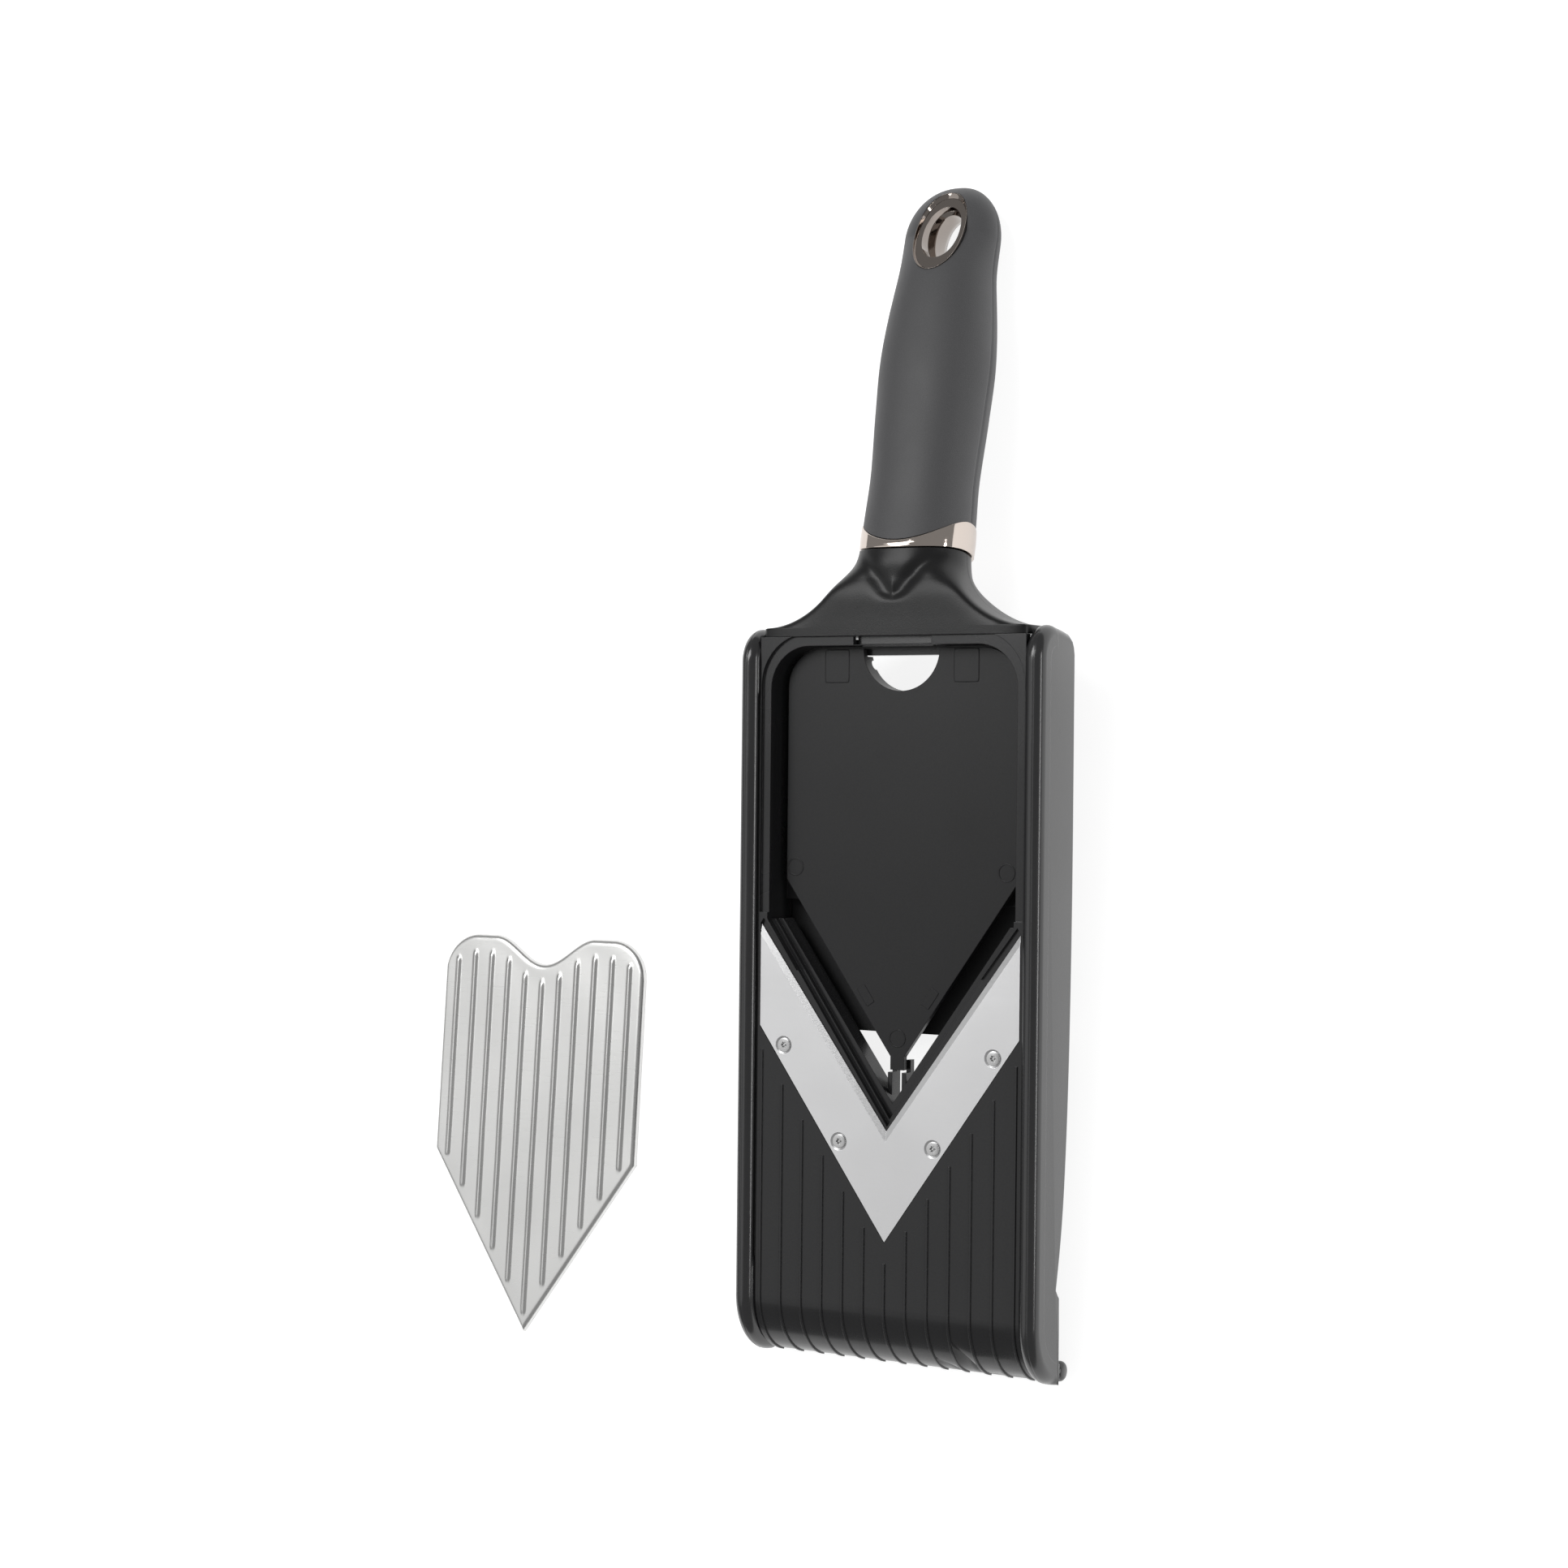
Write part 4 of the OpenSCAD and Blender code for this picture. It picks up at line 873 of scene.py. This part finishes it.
class SLICER_OT_feed_plate(bpy.types.Operator):
    """Builds the pressed feed plate: a ribbed sheet with a V point, a scooped notch and a folded rim"""

    bl_idname = "slicer.feed_plate"
    bl_label = "Feed plate"

    def execute(self, context):
        sizes = context.scene.slicer_plate
        low, high = (np.array(corner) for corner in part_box("feed_plate"))
        half_w, length = (high[0] - low[0]) / 2, high[1] - low[1]
        v_len = half_w / np.tan(sizes.v_angle)
        # Plan: columns across, each from the V edge up to the lobed top edge
        across = np.linspace(-half_w, half_w, 331)
        side = np.abs(across)
        corner = np.maximum(side - (half_w - sizes.corner), 0)
        v_edge = v_len * side / half_w
        top = length - self.scoop(sizes, side)
        top = top - (sizes.corner - np.sqrt(np.maximum(sizes.corner**2 - corner**2, 0)))
        share = np.concatenate([[0, 0.0025, 0.006, 0.011, 0.017], np.linspace(0.025, 0.975, 112),
                                [0.983, 0.989, 0.994, 0.9975, 1]])[:, None]
        y = v_edge + share * (top - v_edge)
        x = across + 0 * y
        slope = np.gradient(top, across)
        edge = np.minimum(np.minimum(half_w - side, (y - v_edge) * np.sin(sizes.v_angle)),
                          (top - y) / np.sqrt(1 + slope**2))
        r = sizes.fold
        turn_down = np.clip(r - edge, 0, r)
        z = sizes.rim - r + np.sqrt(np.maximum(r**2 - turn_down**2, 0))
        # Ribs: a rounded ridge round each rib's centre line
        lift = np.zeros_like(y)
        for k in range(-5, 6):
            centre = k * sizes.rib_pitch
            start = v_len * abs(centre) / half_w + sizes.rib_inset
            stop = length - self.scoop(sizes, abs(centre)) - (0.0095 if abs(k) == 5 else 0.0072)
            away = np.hypot(x - centre, np.maximum(start - y, 0) + np.maximum(y - stop, 0))
            lift += sizes.rib_h * (1 - smooth_step(away, 0.0, sizes.rib_half_w))
        # Pressing waves between the ribs
        wave = 0.00006 * np.sin(x / 0.0052 + 3 * np.sin(y / 0.021)) * smooth_step(edge, 0.001, 0.006)
        z = z + lift + wave
        # The folded rim: the border goes straight down to the table
        grid = np.stack([x, y, z], -1)
        flat, foot = np.array([1, 1, 0]), np.array([0, 0, sizes.sheet])
        grid = np.concatenate([grid[:1] * flat + foot, grid, grid[-1:] * flat + foot], 0)
        left, right = grid[:, :1] * flat + foot, grid[:, -1:] * flat + foot
        grid = np.concatenate([left, grid, right], 1)
        shift = np.array([(low[0] + high[0]) / 2, low[1], 0])
        points = grid.reshape(-1, 3) + shift
        faces = grid_faces(*grid.shape[:2]).tolist()
        plate = new_piece("feed_plate_pressed", [(points, faces)], closed=False, sharp=60)
        wall = plate.modifiers.new("sheet", "SOLIDIFY")
        wall.thickness, wall.offset = sizes.sheet, -1.0
        place(plate, "plate", "plate_steel", "feed_plate")
        return {"FINISHED"}

    @staticmethod
    def scoop(sizes, side):
        """Depth of the notch in the top edge: half a cosine wave from the middle out."""
        return sizes.notch_deep * 0.5 * (1 + np.cos(np.pi * np.clip(side / sizes.notch_w, 0, 1)))


class SLICER_OT_blade_screws(bpy.types.Operator):
    """Builds the blade screws: countersunk heads with a lobed socket round a centre pin"""

    bl_idname = "slicer.blade_screws"
    bl_label = "Blade screws"

    def execute(self, context):
        sizes = context.scene.slicer_blade
        high = node_box("blade_screws")[1]
        head = sizes.head / 2
        inner_x, outer_x = sizes.inner_screw, high[0] - head
        limb = (outer_x - inner_x) / np.tan(sizes.outer_angle)
        outer_y = high[1] - head
        shells = []
        for x, y in ((outer_x, outer_y), (inner_x, outer_y - limb)):
            for side in (-1, 1):
                shells.append(lay_shell(self.screw(side * x, y, head, high[2])))
        screws = new_piece("blade_screws_socketed", shells, sharp=35)
        place(screws, "slicer", "screw_steel", "blade_screws")
        return {"FINISHED"}

    @staticmethod
    def screw(x, y, head, top):
        """Turned (radius, height, lobed) rings: pin, six-lobed socket, crowned face, cone and shank."""
        angle = full_turn(48)
        lobed = 1 + 0.16 * np.cos(6 * angle)
        rings = [(0.0003, top - 0.0002, 0), (0.00036, top - 0.00025, 0), (0.0004, top - 0.0008, 0),
                 (0.00085, top - 0.0008, 1), (0.0009, top - 0.00005, 1), (0.00096, top, 1),
                 (head * 0.8, top, 0), (head * 0.96, top - 0.00008, 0), (head, top - 0.0002, 0),
                 (0.00125, top - 0.0013, 0), (0.00125, top - 0.0065, 0)]
        rows = []
        for radius, height, star in rings:
            rows.append(at_height(arc((x, y), radius * (lobed if star else 1.0), angle), height))
        return closed_skin(np.stack(rows))


class SLICER_OT_ramp_marks(bpy.types.Operator):
    """Builds what the mould leaves on the ramp: faint raised pads over the hinges and ejector rings"""

    bl_idname = "slicer.ramp_marks"
    bl_label = "Ramp marks"

    def execute(self, context):
        sizes = context.scene.slicer_ramp
        top = node_box("thickness_ramp")[1][2]
        high = sizes.mark_h
        shells = []
        for side in (-1, 1):
            shells.append(self.pad(side * 0.0235, -0.0065, 0.009, 0.011, 0, top, high))
            shells.append(self.pad(side * 0.0117, -0.1145, 0.0032, 0.0068, -side * 0.6, top, high * 1.5))
            shells.append(self.ring(side * 0.0384, -0.073, top, high))
        shells.append(self.ring(0.0, -0.128, top, high))
        marks = new_piece("ramp_moulding_marks", [lay_shell(shell) for shell in shells])
        place(marks, "ramp", "ramp_plastic")
        return {"FINISHED"}

    @staticmethod
    def pad(x, y, width, length, turn, top, high):
        """Low rounded block: a squarish superellipse loop whose rows step in as they rise."""
        angle = full_turn(64)
        rows = []
        for inset, z in ((0, -0.0002), (0, high * 0.6), (0.00006, high), (0.0004, high)):
            a, b = oval_point(angle, width / 2 - inset, length / 2 - inset, 14)
            c, s = np.cos(turn), np.sin(turn)
            rows.append(at_height(np.column_stack([x + a * c - b * s, y + a * s + b * c]), top + z))
        return closed_skin(np.stack(rows))

    @staticmethod
    def ring(x, y, top, high):
        """Thin raised ring: a small rounded section carried round a circle."""
        section = ((0.0026, -0.0002), (0.0026, high), (0.0028, high * 1.3), (0.003, high), (0.003, -0.0002))
        rows = [at_height(arc((x, y), radius, full_turn(64)), top + z) for radius, z in section]
        return closed_skin(np.stack(rows), wrap_rows=True)


class SLICER_OT_stage(bpy.types.Operator):
    """Sets up the pale floor, the soft lights and the camera"""

    bl_idname = "slicer.stage"
    bl_label = "Studio"

    def execute(self, context):
        scene = context.scene
        stage = scene.slicer_stage
        half = stage.floor / 2
        mesh = bpy.data.meshes.new("floor")
        # The floor lies a little below the plate, so that their faces do not meet
        corners = [(-half, -half), (half, -half), (half, half), (-half, half)]
        mesh.from_pydata([(x, y, -0.0004) for x, y in corners], [], [(0, 1, 2, 3)])
        floor = bpy.data.objects.new("floor", mesh)
        scene.collection.objects.link(floor)
        material, tree, shader = start_material("pale_floor")
        grain = add_node(tree, "ShaderNodeTexNoise", Scale=3.0, Detail=4.0)
        pale = tinted(tree, grain.outputs["Fac"], (0.5, 0.5, 0.5), (0.54, 0.54, 0.54))
        set_inputs(shader, Base_Color=pale, Roughness=0.9, Emission_Color=(1, 1, 1, 1),
                   Emission_Strength=0.84)
        floor.data.materials.append(material)

        world = bpy.data.worlds.new("studio")
        scene.world = world
        world.use_nodes = True
        set_inputs(world.node_tree.nodes["Background"], Color=(1, 1, 1, 1), Strength=0.3)

        aim = Vector(((CAD_BOX[0][0] + CAD_BOX[1][0]) / 2, (CAD_BOX[0][1] + CAD_BOX[1][1]) / 2, 0.02))
        for name, spot, size, power in (
                ("light_above", (-0.5, 0.75, 1.5), (1.0, 0.7), 12),
                ("light_right", (1.5, 0.15, 0.55), (1.0, 0.14), 4),
                ("light_left", (-1.0, -0.1, 1.2), (1.3, 1.3), 2.9)):
            lamp = bpy.data.lights.new(name, "AREA")
            lamp.shape, lamp.size, lamp.size_y, lamp.energy = "RECTANGLE", *size, power
            light = bpy.data.objects.new(name, lamp)
            light.location = spot
            light.rotation_euler = (aim - light.location).to_track_quat("-Z", "Y").to_euler()
            scene.collection.objects.link(light)

        away = np.array([np.sin(stage.yaw) * np.cos(stage.rise), np.sin(stage.rise),
                         np.cos(stage.yaw) * np.cos(stage.rise)])
        side = np.array([np.cos(stage.yaw), 0, -np.sin(stage.yaw)])
        top = np.cross(away, side)
        c, s = np.cos(stage.roll), np.sin(stage.roll)
        axes = np.array([c * side + s * top, -s * side + c * top, away]) @ BODY_TURN.T
        data = bpy.data.cameras.new("view")
        data.lens, data.sensor_width, data.clip_start, data.clip_end = stage.lens, 36.0, 0.05, 20.0
        camera = bpy.data.objects.new("view", data)
        turn = np.eye(4)
        turn[:3, :3], turn[:3, 3] = axes.T, lay_down(np.array(stage.spot))
        camera.matrix_world = turn.T.tolist()
        scene.collection.objects.link(camera)
        scene.camera = camera
        scene.view_settings.view_transform = "Standard"
        return {"FINISHED"}


class SLICER_PT_panel(bpy.types.Panel):
    """Lists the slicer's pieces and their sizes"""

    bl_idname = "SLICER_PT_panel"
    bl_label = "V-blade slicer"
    bl_space_type = "VIEW_3D"
    bl_region_type = "UI"
    bl_category = "Slicer"

    def draw(self, context):
        for operator in OPERATORS:
            self.layout.operator(operator.bl_idname)
        for group in SIZES:
            settings = getattr(context.scene, group)
            for name in settings.bl_rna.properties.keys():
                if name not in ("rna_type", "name"):
                    self.layout.prop(settings, name)


SIZES = {"slicer_finishes": SlicerFinishes, "slicer_grip": SlicerGrip, "slicer_neck": SlicerNeck,
         "slicer_rails": SlicerRails, "slicer_plate": SlicerPlate, "slicer_blade": SlicerBlade,
         "slicer_ramp": SlicerRamp, "slicer_stage": SlicerStage}
OPERATORS = (SLICER_OT_finish_frame, SLICER_OT_grip, SLICER_OT_collar, SLICER_OT_eyelets, SLICER_OT_neck,
             SLICER_OT_rails, SLICER_OT_feed_plate, SLICER_OT_blade_screws, SLICER_OT_ramp_marks,
             SLICER_OT_stage)


def register():
    for label, group in SIZES.items():
        bpy.utils.register_class(group)
        setattr(bpy.types.Scene, label, PointerProperty(type=group))
    for operator in OPERATORS:
        bpy.utils.register_class(operator)
    bpy.utils.register_class(SLICER_PT_panel)


def unregister():
    bpy.utils.unregister_class(SLICER_PT_panel)
    for operator in reversed(OPERATORS):
        bpy.utils.unregister_class(operator)
    for label, group in reversed(SIZES.items()):
        delattr(bpy.types.Scene, label)
        bpy.utils.unregister_class(group)


def main():
    register()
    for operator in OPERATORS:
        group, name = operator.bl_idname.split(".")
        getattr(getattr(bpy.ops, group), name)()


if __name__ == "__main__":
    main()
